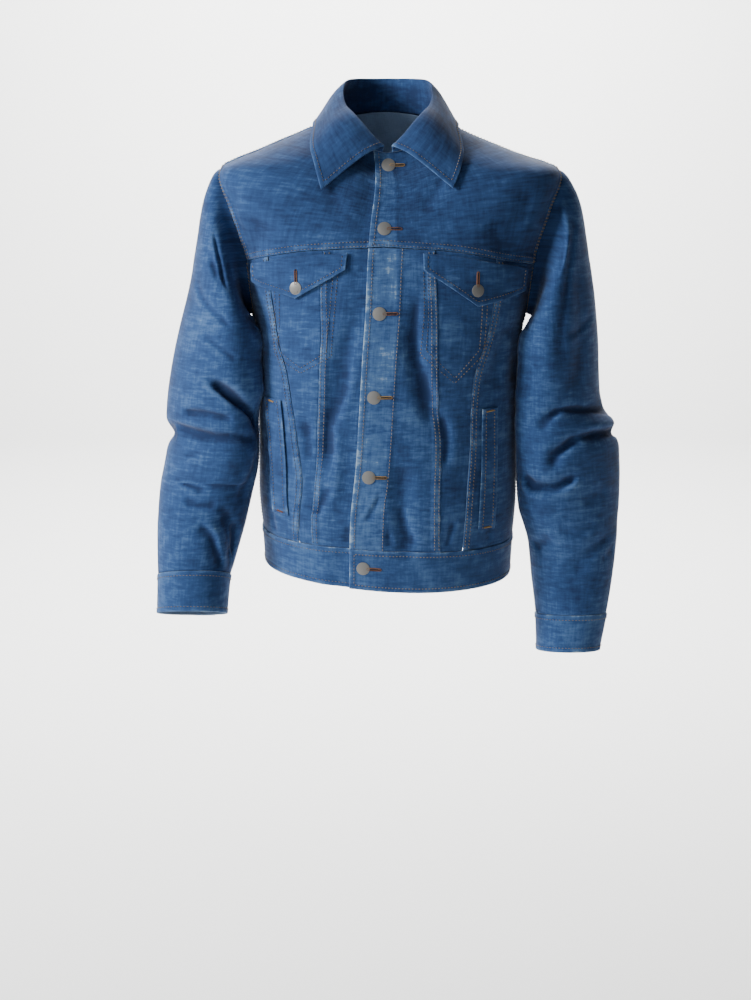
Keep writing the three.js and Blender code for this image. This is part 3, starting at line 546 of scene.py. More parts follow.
def noise(x, y, seed):
    """Smooth noise from -1 to 1, with features about one unit across."""
    lattice = np.random.default_rng(seed).uniform(-1, 1, (LATTICE, LATTICE))
    x, y = np.broadcast_arrays(np.asarray(x, float), np.asarray(y, float))
    i, j = np.floor(x).astype(int), np.floor(y).astype(int)
    fx, fy = ease(x - i), ease(y - j)
    pick = lambda a, b: lattice[a % LATTICE, b % LATTICE]
    low = pick(i, j) * (1 - fx) + pick(i + 1, j) * fx
    high = pick(i, j + 1) * (1 - fx) + pick(i + 1, j + 1) * fx
    return low * (1 - fy) + high * fy


# Distances from a seam or edge at which a piece has extra grid lines
EDGE_LINES = np.array([0, 0.3, 0.8, 1.6, 2.6, 3.8, 5.2, 6.8, 8.4, 10, 11.4, 13, 15.5])
# How far from the edge each kind of seam has its rows of stitches
ROWS = {"lap": (2.0, 7.6), "turned": (6.2,)}
LAP_WIDTH = 9.6
LAP_HEIGHT = 0.95
TURNED_WIDTH = 7.5
TURNED_HEIGHT = 0.45
THREAD_DENT = 0.3
THREAD_BREADTH = 0.9
# The size of puckers along an edge and away from it, how far they slant, and over what length they drift
PUCKER_ALONG = 8.5
PUCKER_AWAY = 9
PUCKER_SLANT = 0.7
PUCKER_RUN = 60


def grid_lines(length, step):
    """Places along a length, closer together near both ends, where the seams and stitches lie."""
    near = EDGE_LINES[EDGE_LINES < 0.42 * length]
    inner = length - 2 * near[-1]
    count = max(int(round(inner / step)), 1)
    middle = near[-1] + inner * np.arange(1, count) / count
    return np.concatenate([near, middle, (length - near)[::-1]])


def seam_form(kind, away, along, seed):
    """Height and wear beside one edge: away from it and along it in millimetres."""
    drift = 0.65 + 0.35 * noise(along / PUCKER_RUN, 0, seed + 1)
    pucker = noise((along + PUCKER_SLANT * away) / PUCKER_ALONG, away / PUCKER_AWAY, seed) * drift
    dents = sum(THREAD_DENT * np.exp(-(((away - row) / THREAD_BREADTH) ** 2)) for row in ROWS.get(kind, ()))
    if kind == "lap":
        ridge = LAP_HEIGHT * ease((LAP_WIDTH + 1.7 - away) / 1.9)
        wave = 0.5 * pucker * np.exp(-((away / 12) ** 2))
        worn = np.exp(-away / 1.5) * (0.8 + 0.5 * pucker)
        return ridge - dents + wave, worn + np.exp(-(((away - 4.8) / 3.8) ** 2)) * (0.3 + 0.5 * pucker)
    if kind == "tucked":
        wave = 0.45 * pucker * np.exp(-((away / 10) ** 2))
        return wave - 0.3 * np.exp(-away / 2.2), 0.22 * np.exp(-away / 5) * (0.5 + pucker)
    if kind == "turned":
        ridge = TURNED_HEIGHT * ease((TURNED_WIDTH - away) / 2.2)
        wave = 0.28 * pucker * np.exp(-((away / 8) ** 2))
        worn = np.exp(-away / 1.5) * (0.75 + 0.5 * pucker) + 0.3 * np.exp(-away / 7) * (0.6 + pucker)
        return ridge + wave - dents, worn
    if kind == "plain":
        return 0.3 * pucker * np.exp(-((away / 8) ** 2)), 0.12 * np.exp(-away / 4) * (0.5 + pucker)
    return 0 * away, 0 * away


# Millimetres of thread for each degree of the torso, and for the collar along the neck and down
BODY_THREAD = 2.6
COLLAR_LENGTH = 440
COLLAR_DEPTH = 95


def body_chart(turn, rise, base):
    """Where the threads run on the torso: level lines and lines of equal turn, in millimetres."""
    return turn * BODY_THREAD, rise + 0 * turn


def sleeve_chart(turn, along, base):
    return turn * SLEEVE_DEGREE, -base[..., 2]


def collar_chart(share, down, base):
    return share * COLLAR_LENGTH, down * COLLAR_DEPTH


# How strongly a bend shows in the colour as painted shade in hollows, and the share of that on ridges
HOLLOW_GAIN = 10
RIDGE_SHARE = 0.3


def crease_shade_and_wash(base, normal):
    """Bend of the cloth: painted shade, -1 in hollows, and a smaller share on ridges, which wash paler."""
    bend = 0
    for axis in (0, 1):
        turn = np.gradient(normal, axis=axis)
        run = np.gradient(base, axis=axis)
        bend = bend + (turn * run).sum(-1) / np.maximum((run * run).sum(-1), 0.5)
    for _ in range(4):
        beside = bend[:-2, 1:-1] + bend[2:, 1:-1] + bend[1:-1, :-2] + bend[1:-1, 2:]
        bend[1:-1, 1:-1] = (bend[1:-1, 1:-1] * 2 + beside) / 6
    bend = np.tanh((bend - np.median(bend)) * HOLLOW_GAIN)
    return np.where(bend > 0, RIDGE_SHARE, 1) * bend


# The inner edges at the waistband's seam hang lower than the outer ones, so that no light comes through it.
REBATE = 1.0
# The waves of every sheet: their height, and their size along the two directions
BROAD_WAVE = (0.4, 38, 52)
SMALL_WAVE = (0.16, 13, 17)
# The step of the grid on the fronts and on the sleeves
FRONT_STEP = 2.6
SLEEVE_STEP = 2.7
# How near to a grid point a place on the piece is
HELD_WITHIN = 2.72


def in_scene(name, data):
    """A new object in the scene."""
    made = bpy.data.objects.new(name, data)
    bpy.context.scene.collection.objects.link(made)
    return made


class Sheet:
    """One cut piece of cloth as it hangs: its grid of places, its outer face and its inner face."""

    def __init__(
        self,
        name,
        surface,
        place,
        sense,
        thick=CLOTH,
        edges=None,
        lift=None,
        seed=1,
        step=3.4,
        soft=1.0,
        chart=None,
        creases=None,
        washed=None,
        rebate=None,
    ):
        self.name, self.thick = name, thick
        self.edges = {}
        for side, kind in (edges or {}).items():
            self.edges[side] = [(1.0, kind)] if isinstance(kind, str) else kind
        coarse = surface(*place(*np.meshgrid(np.linspace(0, 1, 9), np.linspace(0, 1, 9))))
        width = np.linalg.norm(np.diff(coarse, axis=1), axis=-1).sum(1).mean()
        height = np.linalg.norm(np.diff(coarse, axis=0), axis=-1).sum(0).mean()
        self.s, self.t = grid_lines(width, step) / width, grid_lines(height, step) / height
        inset = SEAM_GAP / 2
        across = inset / width + self.s * (1 - 2 * inset / width)
        up = inset / height + self.t * (1 - 2 * inset / height)
        s, t = np.meshgrid(across, up)
        self.u, self.v = place(s, t)
        us, ut = np.gradient(self.u, self.s, axis=1), np.gradient(self.u, self.t, axis=0)
        vs, vt = np.gradient(self.v, self.s, axis=1), np.gradient(self.v, self.t, axis=0)
        self.turned = np.sign(np.median(us * vt - ut * vs)) * sense
        base = surface(self.u, self.v)
        base = base + self.crease(base, creases or (BODY_CREASES if surface is torso else ()))
        self.base = base
        self.chart = (chart or body_chart)(self.u, self.v, base)
        self.x = np.zeros(s.shape)
        self.y = np.zeros(s.shape)
        self.x[:, 1:] = np.cumsum(np.linalg.norm(np.diff(base, axis=1), axis=-1), 1)
        self.y[1:] = np.cumsum(np.linalg.norm(np.diff(base, axis=0), axis=-1), 0)
        self.normal = self.facing(base)
        height, wear = self.relief(seed, soft)
        # fade: painted shade in the hollows of folds and creases, paler wash on ridges and on the placket
        self.fade = crease_shade_and_wash(base, self.normal)
        if washed is not None:
            self.fade = self.fade + washed(self.u, self.v)
        base_lift = 0 * s if lift is None else lift(s, t, self.u, self.v)
        height = height + base_lift
        roll = self.rounding()
        self.outer = base + self.normal * (height - thick / 2 * roll)[..., None]
        inner_height = base_lift + 0.5 * (height - base_lift) - thick
        self.inner = base + self.normal * (inner_height + thick / 2 * roll)[..., None]
        if rebate is not None:
            self.inner[rebate, :, 2] -= REBATE
        self.wear = np.clip(wear, 0, 1)

    def facing(self, base):
        """The way out of the cloth at each point."""
        across, up = np.gradient(base, self.s, axis=1), np.gradient(base, self.t, axis=0)
        return unit(np.cross(across, up)) * self.turned

    def crease(self, base, creases):
        """The finer creases, as a move of each point along the cloth's normal."""
        if not creases:
            return 0
        on_body = creases is BODY_CREASES
        low, degree = (TORSO_CUT, TORSO_DEGREE) if on_body else (SLEEVE_CUT, SLEEVE_DEGREE)
        return self.facing(base) * crease_height(creases, degree, wrap(self.u, low), self.v)[..., None]

    def distances(self):
        x, y = self.x, self.y
        return {"left": (x, y), "right": (x[:, -1:] - x, y), "bottom": (y, x), "top": (y[-1:] - y, x)}

    def rounding(self):
        """From 1 at the cut edge to 0 inside it, so that the edge is half round."""
        nearest = np.minimum.reduce([away for away, _ in self.distances().values()])
        radius = 0.9 * self.thick / 2
        t = np.clip(1 - nearest / radius, 0, 1)
        return 0.92 * (1 - np.sqrt(1 - t * t))

    def relief(self, seed, soft):
        x, y = self.x, self.y
        waves = 0
        for (size, width, length), shift in ((BROAD_WAVE, 0), (SMALL_WAVE, 5)):
            waves = waves + size * noise(x / width, y / length, seed + shift)
        height = soft * waves
        wear = 0.1 * noise(x / 30, y / 30, seed + 7)
        for number, (side, (away, along)) in enumerate(self.distances().items()):
            position = self.s[None, :] if side in ("bottom", "top") else self.t[:, None]
            position = np.broadcast_to(position, x.shape)
            start = 0.0
            for end, kind in self.edges.get(side, []):
                here = (position >= start - 1e-9) & ((position < end) | (end >= 1))
                form, worn = seam_form(kind, away, along, seed * 17 + number * 5)
                height = height + np.where(here, form, 0)
                wear = np.maximum(wear, np.where(here, worn, 0))
                start = end
        return height, wear

    def mesh(self, materials):
        """The closed shell: outer face first, then the inner one, joined round the rim."""
        rows, columns = self.u.shape
        count = rows * columns
        at = np.arange(count).reshape(rows, columns)
        a, b, c, d = at[:-1, :-1].ravel(), at[:-1, 1:].ravel(), at[1:, 1:].ravel(), at[1:, :-1].ravel()
        outer = np.stack([a, b, c, d], 1)
        inner = np.stack([a, d, c, b], 1) + count
        rims = []
        for line in (at[0], at[:, -1], at[-1, ::-1], at[::-1, 0]):
            rims.append(np.stack([line[1:], line[:-1], line[:-1] + count, line[1:] + count], 1))
        faces = np.concatenate([outer, *rims, inner])
        if self.turned < 0:
            faces = faces[:, ::-1]
        points = np.concatenate([self.outer.reshape(-1, 3), self.inner.reshape(-1, 3)]) * MM
        made = bpy.data.meshes.new(self.name)
        made.from_pydata(points.tolist(), [], faces.tolist())
        made.polygons.foreach_set("use_smooth", np.ones(len(faces), bool))
        within = np.zeros(len(faces), int)
        within[-len(inner):] = 1
        made.polygons.foreach_set("material_index", within)
        flat = np.stack(self.chart, -1).reshape(-1, 2) * MM
        shift = np.random.default_rng(len(self.name) + count).uniform(0, 3, 2)
        flat = np.concatenate([flat, flat]) + shift
        corners = np.empty(len(made.loops), int)
        made.loops.foreach_get("vertex_index", corners)
        made.uv_layers.new(name="cut").data.foreach_set("uv", flat[corners].ravel())
        # fade carries the painted shade in hollows and the paler wash on ridges
        for label, values in (("wear", self.wear), ("fade", self.fade)):
            both = np.tile(values.ravel(), 2)
            made.attributes.new(label, "FLOAT", "POINT").data.foreach_set("value", both)
        for material in materials:
            made.materials.append(material)
        piece = in_scene(self.name, made)
        return piece

    def flat_size(self):
        """Width and length of the cut piece in metres, and its area."""
        cell = np.linalg.norm(
            np.cross(np.diff(self.base[:-1], axis=1), np.diff(self.base[:, :-1], axis=0)), axis=-1
        )
        size = (round(self.x[:, -1].max() * MM, 3), round(self.y[-1].max() * MM, 3))
        return size, round(cell.sum() * MM * MM, 5)

    def row(self, side, away, start=0.0, end=1.0, trim=(0, 0)):
        """Points and normals of a line beside an edge: away from it, and short of its ends by trim."""
        reach, along = self.distances()[side]
        outer, normal = self.outer, self.normal
        if side in ("left", "right"):
            reach, along, outer, normal = reach.T, along.T, outer.swapaxes(0, 1), normal.swapaxes(0, 1)
        if side in ("right", "top"):
            reach, along, outer, normal = reach[::-1], along[::-1], outer[::-1], normal[::-1]
        k = np.clip((reach < away).sum(0) - 1, 0, reach.shape[0] - 2)
        j = np.arange(reach.shape[1])
        share = ((away - reach[k, j]) / (reach[k + 1, j] - reach[k, j]))[:, None]
        points = outer[k, j] * (1 - share) + outer[k + 1, j] * share
        lines = self.s if side in ("bottom", "top") else self.t
        here = (lines >= start) & (lines <= end)
        here &= (along[k, j] >= trim[0]) & (along[k, -1] - along[k, j] >= trim[1])
        return points[here], normal[k, j][here]

    def rows(self):
        """Each row of stitches that the piece's edges have."""
        level, upright = ("bottom", "top"), ("left", "right")
        ends = {"left": level, "right": level, "bottom": upright, "top": upright}
        for side, kinds in self.edges.items():
            start = 0.0
            for end, kind in kinds:
                for away in ROWS.get(kind, ()):
                    beside = [self.edges.get(other, [(1.0, "none")]) for other in ends[side]]
                    near = beside[0][0][1], beside[1][0 if side in ("left", "bottom") else -1][1]
                    trim = [away - 0.3 if found == "turned" else 1.2 for found in near]
                    yield self.row(side, away, start, end, trim)
                start = end

    def at(self, u, v):
        """Points and normals of the outer face at places, found from the nearest grid point."""
        points, normals = [], []
        du_s, du_t = np.gradient(self.u, axis=1), np.gradient(self.u, axis=0)
        dv_s, dv_t = np.gradient(self.v, axis=1), np.gradient(self.v, axis=0)
        step_s, step_t = np.gradient(self.outer, axis=1), np.gradient(self.outer, axis=0)
        for a, b in zip(np.atleast_1d(u), np.atleast_1d(v)):
            k = np.argmin(((self.u - a) * TORSO_DEGREE) ** 2 + (self.v - b) ** 2)
            k = np.unravel_index(k, self.u.shape)
            matrix = [[du_s[k], du_t[k]], [dv_s[k], dv_t[k]]]
            ds, dt = np.linalg.lstsq(matrix, [a - self.u[k], b - self.v[k]], rcond=None)[0]
            ds, dt = np.clip([ds, dt], -1, 1)
            points.append(self.outer[k] + step_s[k] * ds + step_t[k] * dt)
            normals.append(self.normal[k])
        return np.array(points), np.array(normals)

    def holds(self, u, v):
        """Whether each place lies on this piece."""
        near = [np.min(((self.u - a) * TORSO_DEGREE) ** 2 + (self.v - b) ** 2) for a, b in zip(u, v)]
        return np.array(near) < HELD_WITHIN**2


SHEETS = {}
BUTTON_RISES = {"neck": 599, "yoke": 464, "chest": 355, "waist": 254, "belly": 150, "band": 28}
FLAP_SIZES = "inner outer inner_drop outer_drop point drop button"
FLAPS = {
    "left": named(FLAP_SIZES, 26, 78, 26, 32, 0.52, 62, 385),
    "right": named(FLAP_SIZES, -21, -67.5, 26, 26, 0.5, 56, 388),
}
FLAP_TOP_GAP = 5
FLAP_STAND = 1.6
POCKET_SIZES = "inner outer top side point share"
POCKETS = {
    "left": named(POCKET_SIZES, 26, 58, 425, 308, 272, 0.58),
    "right": named(POCKET_SIZES, -25, -55, 425, 306, 284, 0.5),
}
WELT_SIZES = "top bottom inner_top inner_bottom outer_top outer_bottom"
WELTS = {
    "left": named(WELT_SIZES, 236, 78, 60, 62.5, 69, 72.5),
    "right": named(WELT_SIZES, 246, 90, -50, -40, -62, -50),
}
BACK_SEAM = -100
UNDER_SEAM = 165
CUFF_LAP = 22
PLACKET_WIDTH = 44
SIDES = (("left", 1), ("right", -1))


def inside(bottom, top, left, right):
    """Places within four edges, each a function of a share from 0 to 1 that gives two coordinates."""
    corners = [edge(np.array(float(end))) for edge in (bottom, top) for end in (0, 1)]

    def place(s, t):
        edges = bottom(s), top(s), left(t), right(t)
        found = []
        for k in (0, 1):
            low, high, first, last = (edge[k] for edge in edges)
            a, b, c, d = (corner[k] for corner in corners)
            straight = mix(mix(a, b, s), mix(c, d, s), t)
            found.append(mix(low, high, t) + mix(first, last, s) - straight)
        return found

    return place


def chain(*parts):
    """Several edges end to end, each with its share of the whole."""

    def edge(t):
        t = np.asarray(t, float)
        start = 0.0
        found = [np.zeros(t.shape), np.zeros(t.shape)]
        for share, part in parts:
            values = part(np.clip((t - start) / share, 0, 1))
            here = (t >= start) if start else (t >= -1)
            found = [np.where(here, values[k], found[k]) for k in (0, 1)]
            start += share
        return found

    return edge


def yoke_rise(turn):
    return column(FRONT_YOKE_SEAM, "turn", "rise", np.abs(turn))


def edge_turn(side, rise):
    """The front edges: the left one laps over the line of buttons, the right one runs under it."""
    return np.degrees(-side * LAP / column(BODY, "rise", "deepFront", rise))


def yoke_meets_armhole(side):
    low, high = 30.0, 150.0
    for _ in range(30):
        around = (low + high) / 2
        turn, rise = armhole_place(side, around)
        low, high = (around, high) if rise > yoke_rise(turn) else (low, around)
    return low


BACK_MEETS_ARMHOLE = -math.degrees(math.acos((BACK_YOKE_RISE - ARMHOLE["rise"]) / ARMHOLE["half"]))


# How high the doubled cloth under the buttons stands, and how much paler it has washed
PLACKET_FOLD = 0.5
PLACKET_WASH = 0.42


def underlap(side):
    """The left front is doubled under its buttons, and the right one lies lower where the left covers it."""

    def doubled(s, t, turn, rise):
        return PLACKET_FOLD * ease((PLACKET_WIDTH + 0.5 - (turn - edge_turn(1, rise)) * 2.1) / 1.6)

    def covered(s, t, turn, rise):
        return -UNDERLAP * ease((turn - edge_turn(1, rise) + UNDERLAP_RAMP) / UNDERLAP_RAMP + 0.1)

    return doubled if side > 0 else covered


def placket_wash(turn, rise):
    """The doubled cloth under the buttons has washed paler."""
    return PLACKET_WASH * ease((PLACKET_WIDTH - (turn - edge_turn(1, rise)) * TORSO_DEGREE) / 3)


def keep(sheet):
    SHEETS[sheet.name] = sheet
    return sheet


def front_sheets():
    """The four cut pieces of each front."""
    for name, side in SIDES:
        meet = yoke_meets_armhole(side)
        seam_end = armhole_place(side, meet)
        shoulder = ARMHOLE["rise"] + ARMHOLE["half"]
        washed = placket_wash if side > 0 else None
        look = {"lift": underlap(side), "step": FRONT_STEP, "washed": washed}

        def yoke_bottom(s):
            turn = mix(edge_turn(side, yoke_rise(0)), seam_end[0], s)
            return turn, yoke_rise(turn)

        def shoulder_seam(s):
            rise = mix(NECK_RISE, shoulder, s)
            return side_turn(side, rise), rise

        neck = lambda s: (mix(edge_turn(side, NECK_RISE), side_turn(side, NECK_RISE), s), NECK_RISE + 0 * s)
        front = lambda t: (edge_turn(side, mix(438, NECK_RISE, t)), mix(438, NECK_RISE, t))
        hole = lambda t: armhole_place(side, mix(meet, 0, t))
        place = inside(yoke_bottom, chain((5 / 12, neck), (7 / 12, shoulder_seam)), front, hole)
        edges = {"bottom": "lap", "right": "lap", "left": "turned", "top": "tucked"}
        keep(Sheet("yoke_front_" + name, torso, place, 1, edges=edges, seed=3 + side, **look))

        inner = lambda rise: column(FRONT_SEAMS, "rise", name + "Inner", rise)
        outer = lambda rise: column(FRONT_SEAMS, "rise", name + "Outer", rise)
        edge = lambda rise: edge_turn(side, rise)

        def strip(low, high):
            def place(s, t):
                guess = mix(BAND_TOP, yoke_rise(mix(low(UNDER_YOKE), high(UNDER_YOKE), s)), t)
                return mix(low(guess), high(guess), s), guess

            return place

        edges = {"left": "turned", "right": "lap", "top": "tucked", "bottom": "tucked"}
        place = strip(edge, inner)
        keep(Sheet("centre_front_" + name, torso, place, 1, edges=edges, seed=8 + side, rebate=0, **look))
        edges = {"left": "tucked", "right": "tucked", "top": "tucked", "bottom": "tucked"}
        place = strip(inner, outer)
        keep(Sheet("middle_front_" + name, torso, place, 1, edges=edges, seed=12 + side, step=2.8, rebate=0))

        start = outer(yoke_rise(outer(UNDER_YOKE)))
        band = lambda s: (mix(outer(BAND_TOP), side_turn(side, BAND_TOP), s), BAND_TOP + 0 * s)
        under_yoke = lambda s: (mix(start, seam_end[0], s), yoke_rise(mix(start, seam_end[0], s)))
        under_arm = lambda s: armhole_place(side, mix(meet, 180, s))
        slant = lambda t: (outer(mix(BAND_TOP, yoke_rise(start), t)), mix(BAND_TOP, yoke_rise(start), t))
        armpit = ARMHOLE["rise"] - ARMHOLE["half"]
        flank = lambda t: (side_turn(side, mix(BAND_TOP, armpit, t)), mix(BAND_TOP, armpit, t))
        place = inside(band, chain((3 / 8, under_yoke), (5 / 8, under_arm)), slant, flank)
        edges = {"left": "lap", "top": [(3 / 8, "tucked"), (1, "lap")], "right": "tucked", "bottom": "tucked"}
        keep(Sheet("side_front_" + name, torso, place, 1, edges=edges, seed=16 + side, rebate=0))


def back_turn(side, turn):
    return turn if side > 0 else turn + 360


def back_sheets():
    """The back panel and the back yoke, plain because the photo doesn't show them."""
    armpit, shoulder = ARMHOLE["rise"] - ARMHOLE["half"], ARMHOLE["rise"] + ARMHOLE["half"]

    def hole(side, around):
        turn, rise = armhole_place(side, around)
        return back_turn(side, turn), rise

    meet = BACK_MEETS_ARMHOLE
    across = lambda s: (mix(hole(1, meet)[0], hole(-1, meet)[0], s), BACK_YOKE_RISE + 0 * s)

    def flank(side):
        def edge(t):
            rise = mix(BAND_TOP, armpit, t)
            return back_turn(side, side_turn(side, rise)), rise

        return edge

    bottom = lambda s: (mix(flank(1)(0.0)[0], flank(-1)(0.0)[0], s), BAND_TOP + 0 * s)
    first = lambda s: hole(1, mix(-180, meet, s))
    last = lambda s: hole(-1, mix(meet, -180, s))
    place = inside(bottom, chain((0.25, first), (0.5, across), (0.25, last)), flank(1), flank(-1))
    kinds = [(0.25, "lap"), (0.75, "tucked"), (1, "lap")]
    edges = {"left": "lap", "right": "lap", "bottom": "tucked", "top": kinds}
    keep(Sheet("back_body", torso, place, 1, edges=edges, seed=21, rebate=0))

    def seam(side):
        def edge(s):
            rise = mix(shoulder, NECK_RISE, s)
            return back_turn(side, side_turn(side, rise)), rise

        return edge

    neck = lambda s: (mix(90, 270, s), NECK_RISE + 0 * s)
    top = chain((0.3, seam(1)), (0.4, neck), (0.3, lambda s: seam(-1)(1 - s)))
    left = lambda t: hole(1, mix(meet, 0, t))
    right = lambda t: hole(-1, mix(meet, 0, t))
    kinds = [(0.3, "lap"), (0.7, "tucked"), (1, "lap")]
    edges = {"bottom": "lap", "left": "lap", "right": "lap", "top": kinds}
    keep(Sheet("yoke_back", torso, inside(across, top, left, right), 1, edges=edges, seed=25))


def band_sheets():
    """The waistband in three pieces, its right end running under the left one."""

    def strip(name, start, end, lift, edges):
        def place(s, t):
            rise = mix(0.0, BAND_TOP, t)
            return mix(start(rise), end(rise), s), rise

        edges = {"bottom": "turned", "top": "turned", **edges}
        form = {"seed": 31 + len(name), "soft": 0.6, "rebate": -1}
        keep(Sheet("band_" + name, torso, place, 1, BAND_CLOTH, edges, lift, **form))

    raised = lambda s, t, turn, rise: BAND_RAISE + 0 * s

    def under(s, t, turn, rise):
        cover = edge_turn(1, rise) - UNDERLAP_RAMP
        return BAND_RAISE - (BAND_CLOTH + 2 * SEAM_GAP) * ease((turn - cover) / UNDERLAP_RAMP + 0.1)

    edge = lambda side: lambda rise: edge_turn(side, rise)
    flank = lambda side: lambda rise: side_turn(side, rise)
    strip("left", edge(1), flank(1), raised, {"left": "turned", "right": "plain"})
    strip("right", edge(-1), flank(-1), under, {"left": "turned", "right": "plain"})
    far = lambda rise: side_turn(-1, rise) + 360
    strip("back", flank(1), far, raised, {"left": "plain", "right": "plain"})


def sleeve_sheets():
    """Two-piece sleeves and their cuffs."""
    for name, side in SIDES:
        rows = LEFT_SLEEVE if side > 0 else RIGHT_SLEEVE
        folds = LEFT_SLEEVE_FOLDS if side > 0 else RIGHT_SLEEVE_FOLDS
        creases = LEFT_SLEEVE_CREASES if side > 0 else RIGHT_SLEEVE_CREASES

        def surface(turn, along, rows=rows, folds=folds, side=side):
            return sleeve(rows, folds, side, turn, along)

        end = rows["along"][-1]
        seam = end - CUFF_LENGTH

        def panel(label, start, stop, edges, seed):
            place = lambda s, t: (mix(start, stop, s) + 0 * t, mix(seam, 0.0, t) + 0 * s)
            edges = {"bottom": "tucked", "top": "tucked", **edges}
            look = {"seed": seed + side, "step": SLEEVE_STEP, "chart": sleeve_chart, "creases": creases}
            keep(Sheet(f"sleeve_{label}_{name}_cloth", surface, place, side, edges=edges, **look))

        panel("top", BACK_SEAM, UNDER_SEAM, {"left": "lap", "right": "plain"}, 41)
        panel("under", UNDER_SEAM, BACK_SEAM + 360, {"left": "plain", "right": "tucked"}, 45)

        def over(s, t, turn, along):
            return BAND_RAISE + (BAND_CLOTH + 2 * SEAM_GAP) * (1 - ease((turn - BACK_SEAM - 4) / 14))

        around = lambda s: mix(BACK_SEAM - CUFF_LAP, BACK_SEAM + 359.0, s)
        place = lambda s, t: (around(s) + 0 * t, mix(end, seam, t) + 0 * s)
        edges = {"bottom": "turned", "top": "turned", "left": "turned", "right": "none"}
        look = {"seed": 51 + side, "soft": 0.6, "chart": sleeve_chart}
        keep(Sheet("cuff_" + name + "_cloth", surface, place, side, BAND_CLOTH, edges, over, **look))


def collar_sheet():
    place = lambda s, t: (mix(0.0, 1.0, s) + 0 * t, mix(0.0, 1.0, t) + 0 * s)
    edges = {"top": "turned", "left": "turned", "right": "turned", "bottom": "plain"}
    look = {"seed": 61, "step": 3.0, "soft": 0.8, "chart": collar_chart}
    keep(Sheet("collar_cloth", collar_surface, place, -1, COLLAR_CLOTH, edges, **look))


def pocket_sheets():
    """The chest flaps, the bags behind them and the welts of the hand pockets."""
    for name, side in SIDES:
        flap = FLAPS[name]

        def flap_place(s, t):
            turn = mix(flap["inner"], flap["outer"], s)
            top = yoke_rise(turn) - FLAP_TOP_GAP
            first = mix(flap["inner_drop"], flap["drop"], s / flap["point"])
            last = mix(flap["drop"], flap["outer_drop"], (s - flap["point"]) / (1 - flap["point"]))
            return turn + 0 * t, mix(top, yoke_rise(turn) - np.where(s < flap["point"], first, last), t)

        stand = lambda s, t, turn, rise: ADD_ON_GAP + FLAP_CLOTH + FLAP_STAND * s * s + 0.7 * t * t
        edges = {"left": "turned", "right": "turned", "top": "turned", "bottom": "plain"}
        look = {"step": FRONT_STEP, "soft": 0.7}
        keep(Sheet("flap_" + name, torso, flap_place, 1, FLAP_CLOTH, edges, stand, seed=71 + side, **look))

        bag = POCKETS[name]

        def bag_place(s, t):
            share = np.where(s < bag["share"], s / bag["share"], (1 - s) / (1 - bag["share"]))
            low = mix(bag["side"], bag["point"], share)
            return mix(bag["inner"], bag["outer"], s) + 0 * t, mix(bag["top"] - 4.0, low, t)

        within = lambda s, t, turn, rise: -(CLOTH + ADD_ON_GAP) + 0 * s
        edges = {"left": "plain", "right": "plain", "top": "plain"}
        plain = {"seed": 75 + side, "step": 4, "soft": 0.5}
        keep(Sheet("pocket_bag_" + name, torso, bag_place, 1, POCKET_CLOTH, edges, within, **plain))

        size = WELTS[name]

        def welt_place(s, t):
            low, high = (mix(size[end + "_bottom"], size[end + "_top"], t) for end in ("inner", "outer"))
            return mix(low, high, s), mix(size["bottom"], size["top"], t) + 0 * s

        raised = lambda s, t, turn, rise: ADD_ON_GAP + WELT_CLOTH + 0 * s
        edges = {"left": "turned", "right": "turned", "top": "plain", "bottom": "plain"}
        keep(Sheet("welt_" + name, torso, welt_place, 1, WELT_CLOTH, edges, raised, seed=79 + side, **look))


class Dye:
    """A material's nodes. A value given as a socket is joined, and any other is set."""

    def __init__(self, name):
        self.material = bpy.data.materials.new(name)
        self.material.use_nodes = True
        self.tree = self.material.node_tree
        self.tree.nodes.clear()

    def add(self, kind, inputs=None, **settings):
        node = self.tree.nodes.new(kind)
        for key, value in settings.items():
            setattr(node, key, value)
        for key, value in (inputs or {}).items():
            if isinstance(value, bpy.types.NodeSocket):
                self.tree.links.new(value, node.inputs[key])
            else:
                node.inputs[key].default_value = value
        return node

    def spots(self, place, size, detail=2.0, rough=0.5, shift=0.0):
        """Noise from 0 to 1, stretched to a size in millimetres."""
        scale = [1 / (MM * length) for length in size]
        inputs = {"Vector": place, "Location": (shift, shift, shift), "Scale": scale}
        mapped = self.add("ShaderNodeMapping", inputs)
        inputs = {"Vector": mapped.outputs[0], "Scale": 1.0, "Detail": detail, "Roughness": rough}
        return self.add("ShaderNodeTexNoise", inputs).outputs["Fac"]

    def ribs(self, place, size, turn=0.0):
        """Even ribs from 0 to 1 across the cloth, size millimetres apart."""
        mapped = self.add("ShaderNodeMapping", {"Vector": place, "Rotation": (0, 0, math.radians(turn))})
        scale = 2 * math.pi / (20 * size * MM)
        inputs = {"Vector": mapped.outputs[0], "Scale": scale, "Distortion": 0.0}
        return self.add("ShaderNodeTexWave", inputs).outputs["Fac"]

    def maths(self, operation, a, b):
        return self.add("ShaderNodeMath", {0: a, 1: b}, operation=operation).outputs[0]

    def total(self, start, *terms):
        """Start plus each socket times its weight, where a socket's middle is 0.5."""
        found = start
        for weight, socket, middle in terms:
            part = self.maths("MULTIPLY", self.maths("SUBTRACT", socket, middle), weight)
            found = self.maths("ADD", found, part)
        return found

    def ramp(self, factor, stops):
        node = self.add("ShaderNodeValToRGB", {"Fac": factor})
        points = node.color_ramp.elements
        while len(points) < len(stops):
            points.new(0.5)
        for point, (position, colour) in zip(points, stops):
            point.position, point.color = position, (*colour, 1)
        return node.outputs["Color"]

    def finish(self, colour, height=None, depth=0.3, **shader):
        """Joins the shader: depth is how high the bump stands, in millimetres."""
        inputs = {key.replace("_", " ").title().replace("Ior", "IOR"): value for key, value in shader.items()}
        inputs["Base Color"] = colour
        if height is not None:
            bump = self.add("ShaderNodeBump", {"Height": height, "Strength": 0.9, "Distance": depth * MM})
            inputs["Normal"] = bump.outputs[0]
        shaded = self.add("ShaderNodeBsdfPrincipled", inputs)
        self.add("ShaderNodeOutputMaterial", {"Surface": shaded.outputs[0]})
        return self.material


